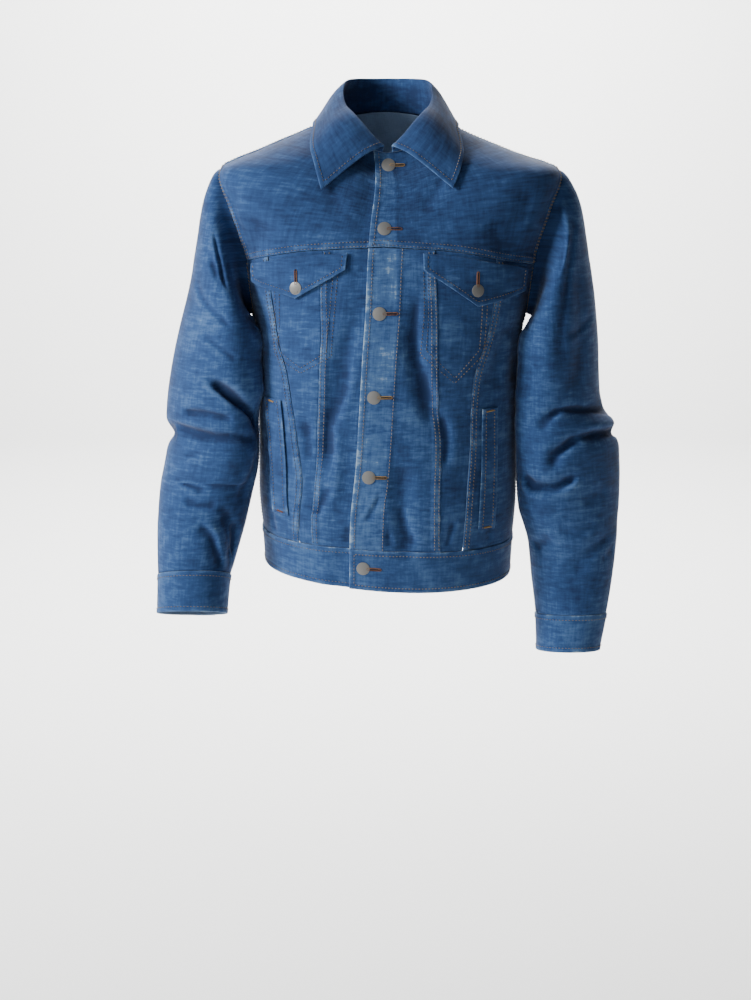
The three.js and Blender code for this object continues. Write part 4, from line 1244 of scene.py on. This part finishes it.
def denim(name, looks, shade=0.0, streak=1.0):
    """Slubby indigo twill, paler on its seams and edges, with painted shade in the hollows of its folds and
    creases.
    """
    dye = Dye(name)
    place = dye.add("ShaderNodeUVMap", uv_map="cut").outputs[0]
    wear = dye.add("ShaderNodeAttribute", attribute_name="wear").outputs["Fac"]
    # fade darkens the hollows as painted shade and pales the ridges as wash
    fade = dye.add("ShaderNodeAttribute", attribute_name="fade").outputs["Fac"]
    warp = dye.spots(place, (3.6, 34, 1), 2.0, 0.6)
    fine_warp = dye.spots(place, (0.8, 7, 1), 1.0, 0.5, 3.1)
    weft = dye.spots(place, (22, 3.6, 1), 2.0, 0.6, 1.7)
    fine_weft = dye.spots(place, (9, 1.2, 1), 1.0, 0.5, 6.7)
    mottle = dye.spots(place, (15, 12, 1), 4.0, 0.65, 5.3)
    cloud = dye.spots(place, (65, 60, 1), 1.0, 0.5, 8.9)
    twill = dye.ribs(place, 1.15, 63)
    terms = [(0.4 * streak, warp, 0.5), (0.1, fine_warp, 0.5)]
    terms += [(0.66 * streak, weft, 0.5), (0.18, fine_weft, 0.5)]
    terms += [(0.7, mottle, 0.5), (0.6, cloud, 0.5), (0.04, twill, 0.5), (0.4, wear, 0.0), (0.5, fade, 0.0)]
    factor = dye.total(0.42 + shade, *terms)
    stops = [(0.05, looks.denim_dark), (0.45, looks.denim_mid)]
    stops += [(0.8, looks.denim_light), (1.0, looks.denim_pale)]
    colour = dye.ramp(factor, stops)
    height = dye.total(0.5, (0.55, twill, 0.5), (0.8, warp, 0.5), (0.5, weft, 0.5), (0.4, fine_warp, 0.5))
    rough = dye.total(0.84, (0.12, mottle, 0.5))
    shader = {"roughness": rough, "sheen_weight": 0.12, "sheen_roughness": 0.5, "specular_ior_level": 0.22}
    return dye.finish(colour, height, 0.22, **shader)


def reverse_cloth(name, colour, streak=0.5):
    """The paler wrong side of the denim, and plain pocket cloth."""
    dye = Dye(name)
    place = dye.add("ShaderNodeUVMap", uv_map="cut").outputs[0]
    weft = dye.spots(place, (20, 1.6, 1), 2.0, 0.6)
    warp = dye.spots(place, (1.4, 16, 1), 2.0, 0.6, 2.2)
    cloud = dye.spots(place, (40, 50, 1), 2.0, 0.5, 4.4)
    weave = dye.ribs(place, 1.15, -63)
    factor = dye.total(0.5, (streak, weft, 0.5), (streak, warp, 0.5), (0.4, cloud, 0.5))
    dark, light = [value * 0.68 for value in colour], [min(value * 1.3, 1) for value in colour]
    found = dye.ramp(factor, ((0.15, dark), (0.5, colour), (0.9, light)))
    height = dye.total(0.5, (0.6, weave, 0.5), (0.7, weft, 0.5))
    return dye.finish(found, height, 0.3, roughness=0.9, specular_ior_level=0.2)


def thread(name, colour):
    """Twisted cotton thread, a little uneven in colour."""
    dye = Dye(name)
    place = dye.add("ShaderNodeTexCoord").outputs["Object"]
    patch = dye.spots(place, (18, 18, 18), 2.0, 0.6)
    fibre = dye.spots(place, (0.5, 0.5, 0.5), 1.0, 0.5)
    factor = dye.total(0.5, (0.9, patch, 0.5), (0.5, fibre, 0.5))
    dark, light = [value * 0.55 for value in colour], [min(value * 1.4, 1) for value in colour]
    found = dye.ramp(factor, ((0.1, dark), (0.5, colour), (0.9, light)))
    return dye.finish(found, fibre, 0.12, roughness=0.75, specular_ior_level=0.3)


def button_metal(name, colour):
    """Dull silver with painted shade in its recess and under it, brushed by wear."""
    dye = Dye(name)
    place = dye.add("ShaderNodeTexCoord").outputs["Object"]
    tarnish = dye.spots(place, (5, 5, 5), 3.0, 0.6)
    scratch = dye.spots(place, (0.5, 2.5, 0.5), 2.0, 0.6, 1.3)
    factor = dye.total(0.55, (0.9, tarnish, 0.5), (0.5, scratch, 0.5))
    # groove darkens the groove and the underside as painted shade
    groove = dye.add("ShaderNodeAttribute", attribute_name="groove").outputs["Fac"]
    factor = dye.total(factor, (-0.75, groove, 0.0))
    dark = [value * 0.22 for value in colour]
    found = dye.ramp(factor, ((0.0, dark), (0.5, colour), (1.0, [min(value * 1.12, 1) for value in colour])))
    rough = dye.total(0.42, (0.2, tarnish, 0.5), (0.12, scratch, 0.5))
    return dye.finish(found, scratch, 0.05, roughness=rough, metallic=0.3)


def stage_paint(name, colour):
    dye = Dye(name)
    place = dye.add("ShaderNodeTexCoord").outputs["Object"]
    grain = dye.spots(place, (260, 260, 260), 2.0, 0.5)
    factor = dye.total(0.5, (0.3, grain, 0.5))
    found = dye.ramp(factor, ((0.0, [value * 0.96 for value in colour]), (1.0, colour)))
    return dye.finish(found, None, roughness=0.9, specular_ior_level=0.1)


def clear_selection():
    if bpy.context.object and bpy.context.object.mode != "OBJECT":
        bpy.ops.object.mode_set(mode="OBJECT")
    bpy.ops.object.select_all(action="DESELECT")


def pick_faces(piece, wanted):
    """Selects, in edit mode, the faces whose normal and centre pass a test."""
    mesh = bmesh.from_edit_mesh(piece.data)
    for face in mesh.faces:
        face.select_set(bool(wanted(face.normal, face.calc_center_median())))
    mesh.select_flush_mode()
    bmesh.update_edit_mesh(piece.data)


STITCH_LENGTH = 3.4
STITCH_PITCH = 4.3
THREAD_SIDES = 5
THREAD_RADIUS = 0.42
THREAD_DIP = 0.3
# How high stitches lie on the cloth, how far to each side their direction is read, and the height of satin
STITCH_LIFT = 0.16
STITCH_PROBE = 1.2
SATIN_LIFT = 0.25
SATIN_HEIGHT = 1.15


def stitch_template():
    """One short stitch along X: a five-sided thread whose ends dip into the cloth."""
    clear_selection()
    radius, length = THREAD_RADIUS * MM, 0.52 * STITCH_LENGTH * MM
    bpy.ops.mesh.primitive_cylinder_add(vertices=THREAD_SIDES, radius=radius, depth=length)
    piece = bpy.context.object
    bpy.ops.object.mode_set(mode="EDIT")
    bpy.ops.mesh.select_all(action="SELECT")
    turn = {"orient_axis": "Y", "center_override": (0, 0, 0)}
    bpy.ops.transform.rotate(value=math.radians(90), **turn)
    pick_faces(piece, lambda normal, centre: abs(normal.x) > 0.9)
    bpy.ops.mesh.inset(thickness=0.5 * radius, depth=0.24 * STITCH_LENGTH * MM, use_individual=True)
    bpy.ops.object.mode_set(mode="OBJECT")
    points = np.array([tuple(vertex.co) for vertex in piece.data.vertices]) / MM
    faces = [tuple(polygon.vertices) for polygon in piece.data.polygons]
    points[:, 2] -= THREAD_DIP * (2 * points[:, 0] / STITCH_LENGTH) ** 2
    bpy.data.objects.remove(piece)
    return points, faces


class Seams:
    """Rows of stitches that become one joined mesh."""

    def __init__(self, name):
        self.name, self.places, self.frames = name, [], []

    def add(self, centres, tangents, normals, size=(1, 1, 1)):
        normals = unit(normals)
        tangents = unit(tangents - normals * (tangents * normals).sum(-1, keepdims=True))
        sides = np.cross(normals, tangents)
        frames = np.stack([tangents * size[0], sides * size[1], normals * size[2]], 1)
        self.places.append(centres)
        self.frames.append(frames)

    def sew(self, points, normals):
        """Stitches end to end along a line of points on the cloth."""
        if len(points) < 3:
            return
        steps = np.linalg.norm(np.diff(points, axis=0), axis=-1)
        along = np.concatenate([[0], np.cumsum(steps)])
        count = int(along[-1] / STITCH_PITCH)
        if count < 2:
            return
        at = (np.arange(count) + 0.5) * along[-1] / count
        read = lambda values, where: np.stack([np.interp(where, along, values[:, k]) for k in range(3)], -1)
        ahead = read(points, at + STITCH_PROBE) - read(points, at - STITCH_PROBE)
        normal = read(normals, at)
        self.add(read(points, at) + STITCH_LIFT * unit(normal), ahead, normal)

    def satin(self, points, tangents, normals, length, width):
        """Short threads side by side, as in a bar tack or a buttonhole."""
        size = length / STITCH_LENGTH, width, SATIN_HEIGHT
        self.add(points + SATIN_LIFT * normals, tangents, normals, size)

    def make(self, template, material):
        places, frames = np.concatenate(self.places), np.concatenate(self.frames)
        shape, faces = template
        points = places[:, None] + np.einsum("vk,nkc->nvc", shape, frames)
        count = len(shape)
        starts = np.arange(len(places)) * count
        everywhere = [[start + corner for corner in face] for start in starts.tolist() for face in faces]
        made = bpy.data.meshes.new(self.name)
        made.from_pydata((points.reshape(-1, 3) * MM).tolist(), [], everywhere)
        made.polygons.foreach_set("use_smooth", np.ones(len(made.polygons), bool))
        made.materials.append(material)
        piece = in_scene(self.name, made)
        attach(piece, "root")
        return piece


def lay(name, node, materials):
    """Makes a sheet's mesh, hangs it from the root, hides the part that it replaces and works out the cut
    piece's flat size.
    """
    sheet = SHEETS[name]
    piece = sheet.mesh(materials)
    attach(piece, "root")
    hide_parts(node)
    size, area = sheet.flat_size()
    return piece


def button_template():
    """A shank button of radius one, standing on its shank along Z: a dished disc with a raised rim."""
    clear_selection()
    bpy.ops.mesh.primitive_cylinder_add(vertices=40, radius=1, depth=0.2, location=(0, 0, 0.3))
    piece = bpy.context.object
    bpy.ops.object.mode_set(mode="EDIT")
    pick_faces(piece, lambda normal, centre: normal.z > 0.9)
    for thickness, depth in ((0.1, 0.04), (0.06, 0), (0.05, -0.05), (0.35, 0.01), (0.25, 0.03)):
        bpy.ops.mesh.inset(thickness=thickness, depth=depth)
    pick_faces(piece, lambda normal, centre: normal.z < -0.9)
    bpy.ops.mesh.inset(thickness=0.5, depth=0.02)
    bpy.ops.mesh.extrude_region_move(TRANSFORM_OT_translate={"value": (0, 0, -0.2)})
    bpy.ops.object.mode_set(mode="OBJECT")
    bevel = piece.modifiers.new("edges", "BEVEL")
    bevel.width, bevel.segments, bevel.limit_method, bevel.angle_limit = 0.025, 2, "ANGLE", math.radians(25)
    bpy.ops.object.modifier_apply(modifier=bevel.name)
    bpy.ops.object.shade_smooth_by_angle(angle=math.radians(35))
    return piece


BUTTON_RADIUS = 8.5
SMALL_BUTTON_RADIUS = 8.0
SHANK_SINK = 0.1
# Where a button is painted dark as shade: the groove's ring and width in radii, and the height in millimetres
# below which its underside and shank are painted dark
GROOVE_RING = 0.78
GROOVE_WIDTH = 0.08
SHADED_BELOW = 2.2


def button_spots():
    """Each button's node, the piece that it is on, its place there and its radius."""
    for name, rise in BUTTON_RISES.items():
        on = "yoke_front_left" if rise > yoke_rise(0) else "centre_front_left"
        if rise < BAND_TOP:
            on = "band_left"
        yield "button_" + name, on, (0, rise), BUTTON_RADIUS
    for name, _ in SIDES:
        flap = FLAPS[name]
        spot = (mix(flap["inner"], flap["outer"], flap["point"]), flap["button"])
        yield "button_flap_" + name, "flap_" + name, spot, SMALL_BUTTON_RADIUS
    for name, side in SIDES:
        end = (LEFT_SLEEVE if side > 0 else RIGHT_SLEEVE)["along"][-1]
        spot = (BACK_SEAM - CUFF_LAP / 2, end - CUFF_LENGTH / 2)
        yield "button_cuff_" + name, "cuff_" + name + "_cloth", spot, SMALL_BUTTON_RADIUS


def frame_at(sheet, spot):
    """Point, normal and the direction of growing turn on a piece's outer face."""
    points, normals = sheet.at([spot[0] - 1.5, spot[0], spot[0] + 1.5], [spot[1]] * 3)
    normal = unit(normals.sum(0))
    across = points[2] - points[0]
    across = unit(across - normal * (across @ normal))
    return points[1], normal, across


def make_buttons(material):
    template = button_template()
    for node, on, spot, radius in button_spots():
        point, normal, across = frame_at(SHEETS[on], spot)
        mesh = template.data.copy()
        piece = in_scene("shank_" + node, mesh)
        shape = np.array([tuple(vertex.co) for vertex in mesh.vertices]) * (radius, radius, BUTTON_RADIUS)
        frames = np.stack([across, np.cross(normal, across), normal])
        placed = point - normal * SHANK_SINK + shape @ frames
        mesh.vertices.foreach_set("co", (placed * MM).ravel())
        ring = np.hypot(shape[:, 0], shape[:, 1]) / radius
        # Painted shade in the groove's ring and over the underside and shank
        groove = np.exp(-(((ring - GROOVE_RING) / GROOVE_WIDTH) ** 2)) + 1.0 * (shape[:, 2] < SHADED_BELOW)
        mesh.attributes.new("groove", "FLOAT", "POINT").data.foreach_set("value", groove)
        mesh.update()
        mesh.materials.clear()
        mesh.materials.append(material)
        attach(piece, "root")
        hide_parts(node)
    bpy.data.objects.remove(template)


BUTTONHOLE = {"length": 16, "half": 0.9, "thread": 1.8, "pitch": 0.62, "offset": -2.5}
BAR_TACK = {"length": 11, "width": 2.6, "pitch": 0.55}
GOLD_HOLES = ("button_neck", "button_waist", "button_belly")


def buttonhole(seams, sheet, spot, upright=False):
    """A keyhole of satin stitches that runs from under the button away from the edge."""
    point, normal, across = frame_at(sheet, spot)
    run = np.cross(normal, across) if upright else across
    side = np.cross(normal, run)
    length, half = BUTTONHOLE["length"], BUTTONHOLE["half"]
    total = 2 * length + 2 * math.pi * half
    centres, outward = [], []
    for at in np.arange(0, total, BUTTONHOLE["pitch"]):
        if at < length:
            place, away = run * at + side * half, side
        elif at < length + math.pi * half:
            turn = (at - length) / half
            away = side * math.cos(turn) + run * math.sin(turn)
            place = run * length + away * half
        elif at < 2 * length + math.pi * half:
            place, away = run * (2 * length + math.pi * half - at) - side * half, -side
        else:
            turn = (at - 2 * length - math.pi * half) / half
            away = -side * math.cos(turn) - run * math.sin(turn)
            place = away * half
        centres.append(point + place + away * 0.35)
        outward.append(away)
    centres, outward = np.array(centres), np.array(outward)
    normals = np.tile(normal, (len(centres), 1))
    seams.satin(settle(sheet, centres), outward, normals, BUTTONHOLE["thread"], 0.8)
    return point, normal, run, side


def settle(sheet, points):
    """Drops points along the local normal onto the piece's outer face."""
    grid = sheet.outer.reshape(-1, 3)
    normals = sheet.normal.reshape(-1, 3)
    found = []
    for point in points:
        k = np.argmin(((grid - point) ** 2).sum(1))
        found.append(point - normals[k] * ((point - grid[k]) @ normals[k]))
    return np.array(found)


def bar_tack(seams, sheet, spot, run):
    """A short bar of satin stitches across the end of a pocket or seam."""
    point, normal, across = frame_at(sheet, spot)
    up = np.cross(normal, across)
    line = unit(across * run[0] + up * run[1])
    side = np.cross(normal, line)
    at = np.arange(-BAR_TACK["length"] / 2, BAR_TACK["length"] / 2, BAR_TACK["pitch"])
    centres = settle(sheet, point + at[:, None] * line)
    normals, sides = np.tile(normal, (len(at), 1)), np.tile(side, (len(at), 1))
    seams.satin(centres, sides, normals, BAR_TACK["width"], 0.75)


STITCH_GROUPS = {
    "stitches_front": ("yoke_front_", "centre_front_", "side_front_", "flap_", "welt_"),
    "stitches_back": ("back_body", "yoke_back"),
    "stitches_edges": ("band_", "collar_cloth", "cuff_"),
    "stitches_sleeves": ("sleeve_",),
}


def make_seams(material):
    template = stitch_template()
    for group, starts in STITCH_GROUPS.items():
        seams = Seams(group)
        for name, sheet in SHEETS.items():
            if name.startswith(starts):
                for points, normals in sheet.rows():
                    seams.sew(points, normals)
        if group == "stitches_front":
            seams.sew(*SHEETS["centre_front_left"].row("left", PLACKET_WIDTH - 2))
            for name, side in SIDES:
                outline_pockets(seams, name, side)
        seams.make(template, material)
    return template


# The two rows round a chest pocket: how far in each lies, and how high they reach at their two ends
POCKET_ROWS = (0, 5.5)
INNER_ROW_TOP = 408
OUTER_ROW_TOP = 398


def outline_pockets(seams, name, side):
    """Two rows that hold the bag behind each chest flap to the front."""
    bag = POCKETS[name]
    for inset in POCKET_ROWS:
        small = side * inset / TORSO_DEGREE
        inner, outer = bag["inner"] + small, bag["outer"] - small
        middle = mix(bag["inner"], bag["outer"], bag["share"])
        corners = [(inner, INNER_ROW_TOP), (inner, bag["side"] + inset), (middle, bag["point"] + inset * 1.2)]
        corners += [(outer, bag["side"] + inset), (outer, OUTER_ROW_TOP)]
        for (u0, v0), (u1, v1) in zip(corners[:-1], corners[1:]):
            count = max(int(math.hypot((u1 - u0) * TORSO_DEGREE, v1 - v0) / 2), 2)
            u, v = np.linspace(u0, u1, count), np.linspace(v0, v1, count)
            for part in ("centre_front_", "middle_front_", "side_front_"):
                sheet = SHEETS[part + name]
                held = sheet.holds(u, v)
                if held.sum() > 4:
                    seams.sew(*sheet.at(u[held], v[held]))


def make_details(template, rust, gold, slit_shadow_material):
    """Buttonholes beside the front buttons and above the flap buttons, and bar tacks at the welts."""
    seams, golden = Seams("buttonholes"), Seams("buttonholes_gold")
    slits = []
    for node, on, spot, radius in button_spots():
        upright = "flap" in node
        reach = radius + BUTTONHOLE["offset"]
        step = (0, reach) if upright else (reach / TORSO_DEGREE, 0)
        if "cuff" in node:
            continue
        place = (spot[0] + step[0], spot[1] + step[1])
        slits.append(buttonhole(golden if node in GOLD_HOLES else seams, SHEETS[on], place, upright))
    for name, side in SIDES:
        welt, sheet = WELTS[name], SHEETS["welt_" + name]
        for end, height in (("top", -4), ("bottom", 4)):
            middle = (welt["inner_" + end] + welt["outer_" + end]) / 2
            thread_used = seams if (name, end) == ("right", "bottom") else golden
            bar_tack(thread_used, sheet, (middle, welt[end] + height), (1, 0.1 * side))
    seams.make(template, rust)
    golden.make(template, gold)
    make_slits(slits, slit_shadow_material)


SLIT_SIDES = 16
SLIT_HALF = 0.35


def make_slits(slits, material):
    """The painted shadow in each buttonhole's cut, a thin dark lens on the cloth."""
    points, faces = [], []
    for point, normal, run, side in slits:
        start = len(points)
        for high in (0.35, -0.6):
            for turn in np.linspace(0, 2 * math.pi, SLIT_SIDES, endpoint=False):
                half = BUTTONHOLE["length"] / 2
                along = half + half * math.cos(turn)
                points.append(point + run * along + side * SLIT_HALF * math.sin(turn) + normal * high)
        top = [start + k for k in range(SLIT_SIDES)]
        low = [corner + SLIT_SIDES for corner in top]
        faces += [top, low[::-1]]
        for k in range(SLIT_SIDES):
            after = (k + 1) % SLIT_SIDES
            faces.append([top[after], top[k], low[k], low[after]])
    made = bpy.data.meshes.new("slits")
    made.from_pydata((np.array(points) * MM).tolist(), [], faces)
    made.materials.append(material)
    piece = in_scene("slits", made)
    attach(piece, "root")


def colour_property(name, description, default):
    settings = {"name": name, "description": description, "default": default}
    return bpy.props.FloatVectorProperty(subtype="COLOR", size=3, **settings)


def power_property(name, description, default):
    settings = {"name": name, "description": description, "default": default}
    return bpy.props.FloatProperty(min=0, unit="POWER", **settings)


class JacketLooks(bpy.types.PropertyGroup):
    """Colours of the cloth, thread and metal."""

    denim_dark: colour_property("Deep indigo", "Denim where it kept its dye", (0.008, 0.026, 0.09))
    denim_mid: colour_property("Indigo", "Denim over most of the jacket", (0.022, 0.066, 0.19))
    denim_light: colour_property("Washed", "Denim where it has faded", (0.07, 0.15, 0.32))
    denim_pale: colour_property("Worn", "Denim on edges and seams", (0.26, 0.37, 0.5))
    reverse: colour_property("Wrong side", "Inner face of the denim", (0.17, 0.24, 0.36))
    pocketing: colour_property("Pocket cloth", "Plain cotton of the chest pockets", (0.3, 0.33, 0.38))
    thread: colour_property("Thread", "Topstitching", (0.2, 0.17, 0.14))
    tack: colour_property("Rust thread", "Buttonholes", (0.25, 0.12, 0.07))
    gold: colour_property("Gold thread", "Buttonholes and bar tacks", (0.42, 0.27, 0.11))
    metal: colour_property("Button", "Shank buttons", (0.95, 0.94, 0.9))


class JacketStage(bpy.types.PropertyGroup):
    """The floor, the lights and the camera."""

    floor: bpy.props.FloatProperty(
        name="Floor", description="Height of the floor below the neck", default=-1.45, unit="LENGTH"
    )
    key: power_property("Key light", "Power of the main light", 190)
    fill: power_property("Fill light", "Power of the fill", 19)
    sweep: power_property("Backdrop light", "Power on the backdrop", 800)
    paint: colour_property("Floor colour", "Floor and backdrop", (0.9, 0.9, 0.89))


DYES = {}


def dyed(context, name):
    """Each material, made once."""
    looks = context.scene.jacket_looks
    if name not in DYES:
        DYES[name] = {
            "denim": lambda: denim("washed denim", looks),
            # A darker copy of the denim for the yokes and flaps: partly their deeper tone, partly painted
            # shade on the upward yokes
            "deep": lambda: denim("deep denim", looks, -0.1, 1.1),
            # A darker copy of the denim for the collar: painted shade over the whole collar
            "collar": lambda: denim("collar denim", looks, -0.18, 1.0),
            "edge": lambda: denim("worn denim", looks, 0.05, 0.8),
            "reverse": lambda: reverse_cloth("wrong side", list(looks.reverse)),
            "pocketing": lambda: reverse_cloth("pocket cloth", list(looks.pocketing), 0.2),
            "thread": lambda: thread("topstitch thread", list(looks.thread)),
            "tack": lambda: thread("tack thread", list(looks.tack)),
            "gold": lambda: thread("gold thread", list(looks.gold)),
            # The painted shadow in the buttonholes' cuts, made with the thread's nodes
            "slit": lambda: thread("slit shadow", [0.01, 0.012, 0.02]),
            "metal": lambda: button_metal("dull silver", list(looks.metal)),
        }[name]()
    return DYES[name]


class JACKET_OT_fronts(bpy.types.Operator):
    """Cut and hang the yokes and the panels of both fronts"""

    bl_idname = "jacket.fronts"
    bl_label = "Fronts"

    def execute(self, context):
        front_sheets()
        cloth = [dyed(context, "denim"), dyed(context, "reverse")]
        deep = [dyed(context, "deep"), cloth[1]]
        for name, _ in SIDES:
            lay("yoke_front_" + name, "front_yoke_" + name, deep)
            lay("centre_front_" + name, "front_centre_" + name, cloth)
            lay("middle_front_" + name, "front_middle_" + name, cloth)
            lay("side_front_" + name, "front_side_" + name, cloth)
        return {"FINISHED"}


class JACKET_OT_back(bpy.types.Operator):
    """Cut and hang the back and its yoke"""

    bl_idname = "jacket.back"
    bl_label = "Back"

    def execute(self, context):
        back_sheets()
        cloth = [dyed(context, "denim"), dyed(context, "reverse")]
        lay("back_body", "back_panel", cloth)
        deep = [dyed(context, "deep"), cloth[1]]
        lay("yoke_back", "back_yoke", deep)
        return {"FINISHED"}


class JACKET_OT_waistband(bpy.types.Operator):
    """Sew on the waistband"""

    bl_idname = "jacket.waistband"
    bl_label = "Waistband"

    def execute(self, context):
        band_sheets()
        cloth = [dyed(context, "edge"), dyed(context, "reverse")]
        above = {"left": "front_centre_left", "right": "front_centre_right", "back": "back_panel"}
        for name, node in above.items():
            lay("band_" + name, "waistband_" + name, cloth)
        return {"FINISHED"}


class JACKET_OT_sleeves(bpy.types.Operator):
    """Hang the two-piece sleeves and sew on their cuffs"""

    bl_idname = "jacket.sleeves"
    bl_label = "Sleeves"

    def execute(self, context):
        sleeve_sheets()
        cloth = [dyed(context, "denim"), dyed(context, "reverse")]
        for name, _ in SIDES:
            for part in ("top", "under"):
                lay(f"sleeve_{part}_{name}_cloth", f"sleeve_{part}_{name}", cloth)
            cuff = [dyed(context, "edge"), cloth[1]]
            lay("cuff_" + name + "_cloth", "cuff_" + name, cuff)
        return {"FINISHED"}


class JACKET_OT_collar(bpy.types.Operator):
    """Fold down the collar"""

    bl_idname = "jacket.collar"
    bl_label = "Collar"

    def execute(self, context):
        collar_sheet()
        # the collar's denim is darkened as painted shade
        cloth = [dyed(context, "collar")] * 2
        lay("collar_cloth", "collar", cloth)
        return {"FINISHED"}


class JACKET_OT_pockets(bpy.types.Operator):
    """Set in the chest pockets with their flaps and the welts of the hand pockets"""

    bl_idname = "jacket.pockets"
    bl_label = "Pockets"

    def execute(self, context):
        pocket_sheets()
        cloth = [dyed(context, "denim"), dyed(context, "reverse")]
        for name, _ in SIDES:
            flap = [dyed(context, "deep"), cloth[1]]
            lay("flap_" + name, "pocket_flap_" + name, flap)
            bag = [dyed(context, "pocketing")] * 2
            lay("pocket_bag_" + name, "chest_pocket_" + name, bag)
            lay("welt_" + name, "hand_pocket_" + name, cloth)
        return {"FINISHED"}


class JACKET_OT_sewing(bpy.types.Operator):
    """Topstitch the seams, work the buttonholes and tack the pocket ends"""

    bl_idname = "jacket.sewing"
    bl_label = "Sewing"

    def execute(self, context):
        if not SHEETS:
            raise RuntimeError("the pieces of cloth come before their stitches")
        template = make_seams(dyed(context, "thread"))
        make_details(template, dyed(context, "tack"), dyed(context, "gold"), dyed(context, "slit"))
        return {"FINISHED"}


class JACKET_OT_buttons(bpy.types.Operator):
    """Set the shank buttons"""

    bl_idname = "jacket.buttons"
    bl_label = "Buttons"

    def execute(self, context):
        make_buttons(dyed(context, "metal"))
        return {"FINISHED"}


# Metres: the floor's width and middle, where its back edge lies, the height of the wall and its bend
FLOOR = {"size": 9, "middle": 0.5, "back": 4, "wall": 6, "bend": 2.2, "steps": 16}
CAMERA = {"place": (-0.01838, -2.1, 0.04018), "pitch": 76, "lens": 58.14}


class JACKET_OT_stage(bpy.types.Operator):
    """Lay the floor and set the lights and the camera"""

    bl_idname = "jacket.stage"
    bl_label = "Stage"

    def execute(self, context):
        settings = context.scene.jacket_stage
        clear_selection()
        bpy.ops.mesh.primitive_plane_add(size=FLOOR["size"], location=(0, FLOOR["middle"], settings.floor))
        floor = context.object
        floor.name = "floor"
        bpy.ops.object.mode_set(mode="EDIT")
        mesh = bmesh.from_edit_mesh(floor.data)
        for edge in mesh.edges:
            edge.select_set(all(vertex.co.y > FLOOR["back"] for vertex in edge.verts))
        mesh.select_flush_mode()
        bpy.ops.mesh.extrude_region_move(TRANSFORM_OT_translate={"value": (0, 0, FLOOR["wall"])})
        mesh = bmesh.from_edit_mesh(floor.data)
        for edge in mesh.edges:
            low = all(vertex.co.z < 1 for vertex in edge.verts)
            edge.select_set(low and all(vertex.co.y > FLOOR["back"] for vertex in edge.verts))
        bpy.ops.mesh.bevel(offset=FLOOR["bend"], segments=FLOOR["steps"])
        bpy.ops.object.mode_set(mode="OBJECT")
        bpy.ops.object.transform_apply(location=True)
        bpy.ops.object.shade_smooth()
        floor.data.materials.append(stage_paint("stage paint", list(settings.paint)))
        self.light("key", settings.key, 1.1, (-2.95, -1.3, 1.05))
        self.light("fill", settings.fill, 2.0, (-1.1, -3.2, 0.4))
        self.light("rim", 2 * settings.fill, 1.8, (0.2, 2.4, 1.5))
        self.light("sweep", settings.sweep, 3.0, (0, 2.3, 2.2), (0, 4.2, -0.4))
        self.world(context)
        camera = in_scene("camera", bpy.data.cameras.new("camera"))
        camera.location = CAMERA["place"]
        camera.rotation_euler = (math.radians(CAMERA["pitch"]), 0, 0)
        camera.data.lens, camera.data.sensor_width = CAMERA["lens"], 36
        context.scene.camera = camera
        return {"FINISHED"}

    def light(self, name, power, size, place, target=(0, 0, -0.3)):
        lamp = bpy.data.lights.new(name, "AREA")
        lamp.energy, lamp.size = power, size
        holder = in_scene(name, lamp)
        holder.location = place
        holder.rotation_euler = (Vector(target) - Vector(place)).to_track_quat("-Z", "Y").to_euler()

    def world(self, context):
        world = bpy.data.worlds.new("studio")
        world.use_nodes = True
        world.node_tree.nodes["Background"].inputs[0].default_value = (0.9, 0.93, 1.0, 1)
        world.node_tree.nodes["Background"].inputs[1].default_value = 0.07
        context.scene.world = world


OPERATORS = (
    JACKET_OT_stage,
    JACKET_OT_fronts,
    JACKET_OT_back,
    JACKET_OT_waistband,
    JACKET_OT_sleeves,
    JACKET_OT_collar,
    JACKET_OT_pockets,
    JACKET_OT_sewing,
    JACKET_OT_buttons,
)


class JACKET_PT_panel(bpy.types.Panel):
    """The jacket's pieces in the order that they are made"""

    bl_label = "Denim jacket"
    bl_idname = "JACKET_PT_panel"
    bl_space_type = "VIEW_3D"
    bl_region_type = "UI"
    bl_category = "Jacket"

    def draw(self, context):
        for group in (context.scene.jacket_looks, context.scene.jacket_stage):
            for name in group.__annotations__:
                self.layout.prop(group, name)
        for operator in OPERATORS:
            self.layout.operator(operator.bl_idname)


CLASSES = (JacketLooks, JacketStage, *OPERATORS, JACKET_PT_panel)


def register():
    for found in CLASSES:
        bpy.utils.register_class(found)
    bpy.types.Scene.jacket_looks = bpy.props.PointerProperty(type=JacketLooks)
    bpy.types.Scene.jacket_stage = bpy.props.PointerProperty(type=JacketStage)


def unregister():
    del bpy.types.Scene.jacket_stage
    del bpy.types.Scene.jacket_looks
    for found in reversed(CLASSES):
        bpy.utils.unregister_class(found)


def main():
    register()
    for operator in OPERATORS:
        group, name = operator.bl_idname.split(".")
        getattr(getattr(bpy.ops, group), name)()


if __name__ == "__main__":
    main()
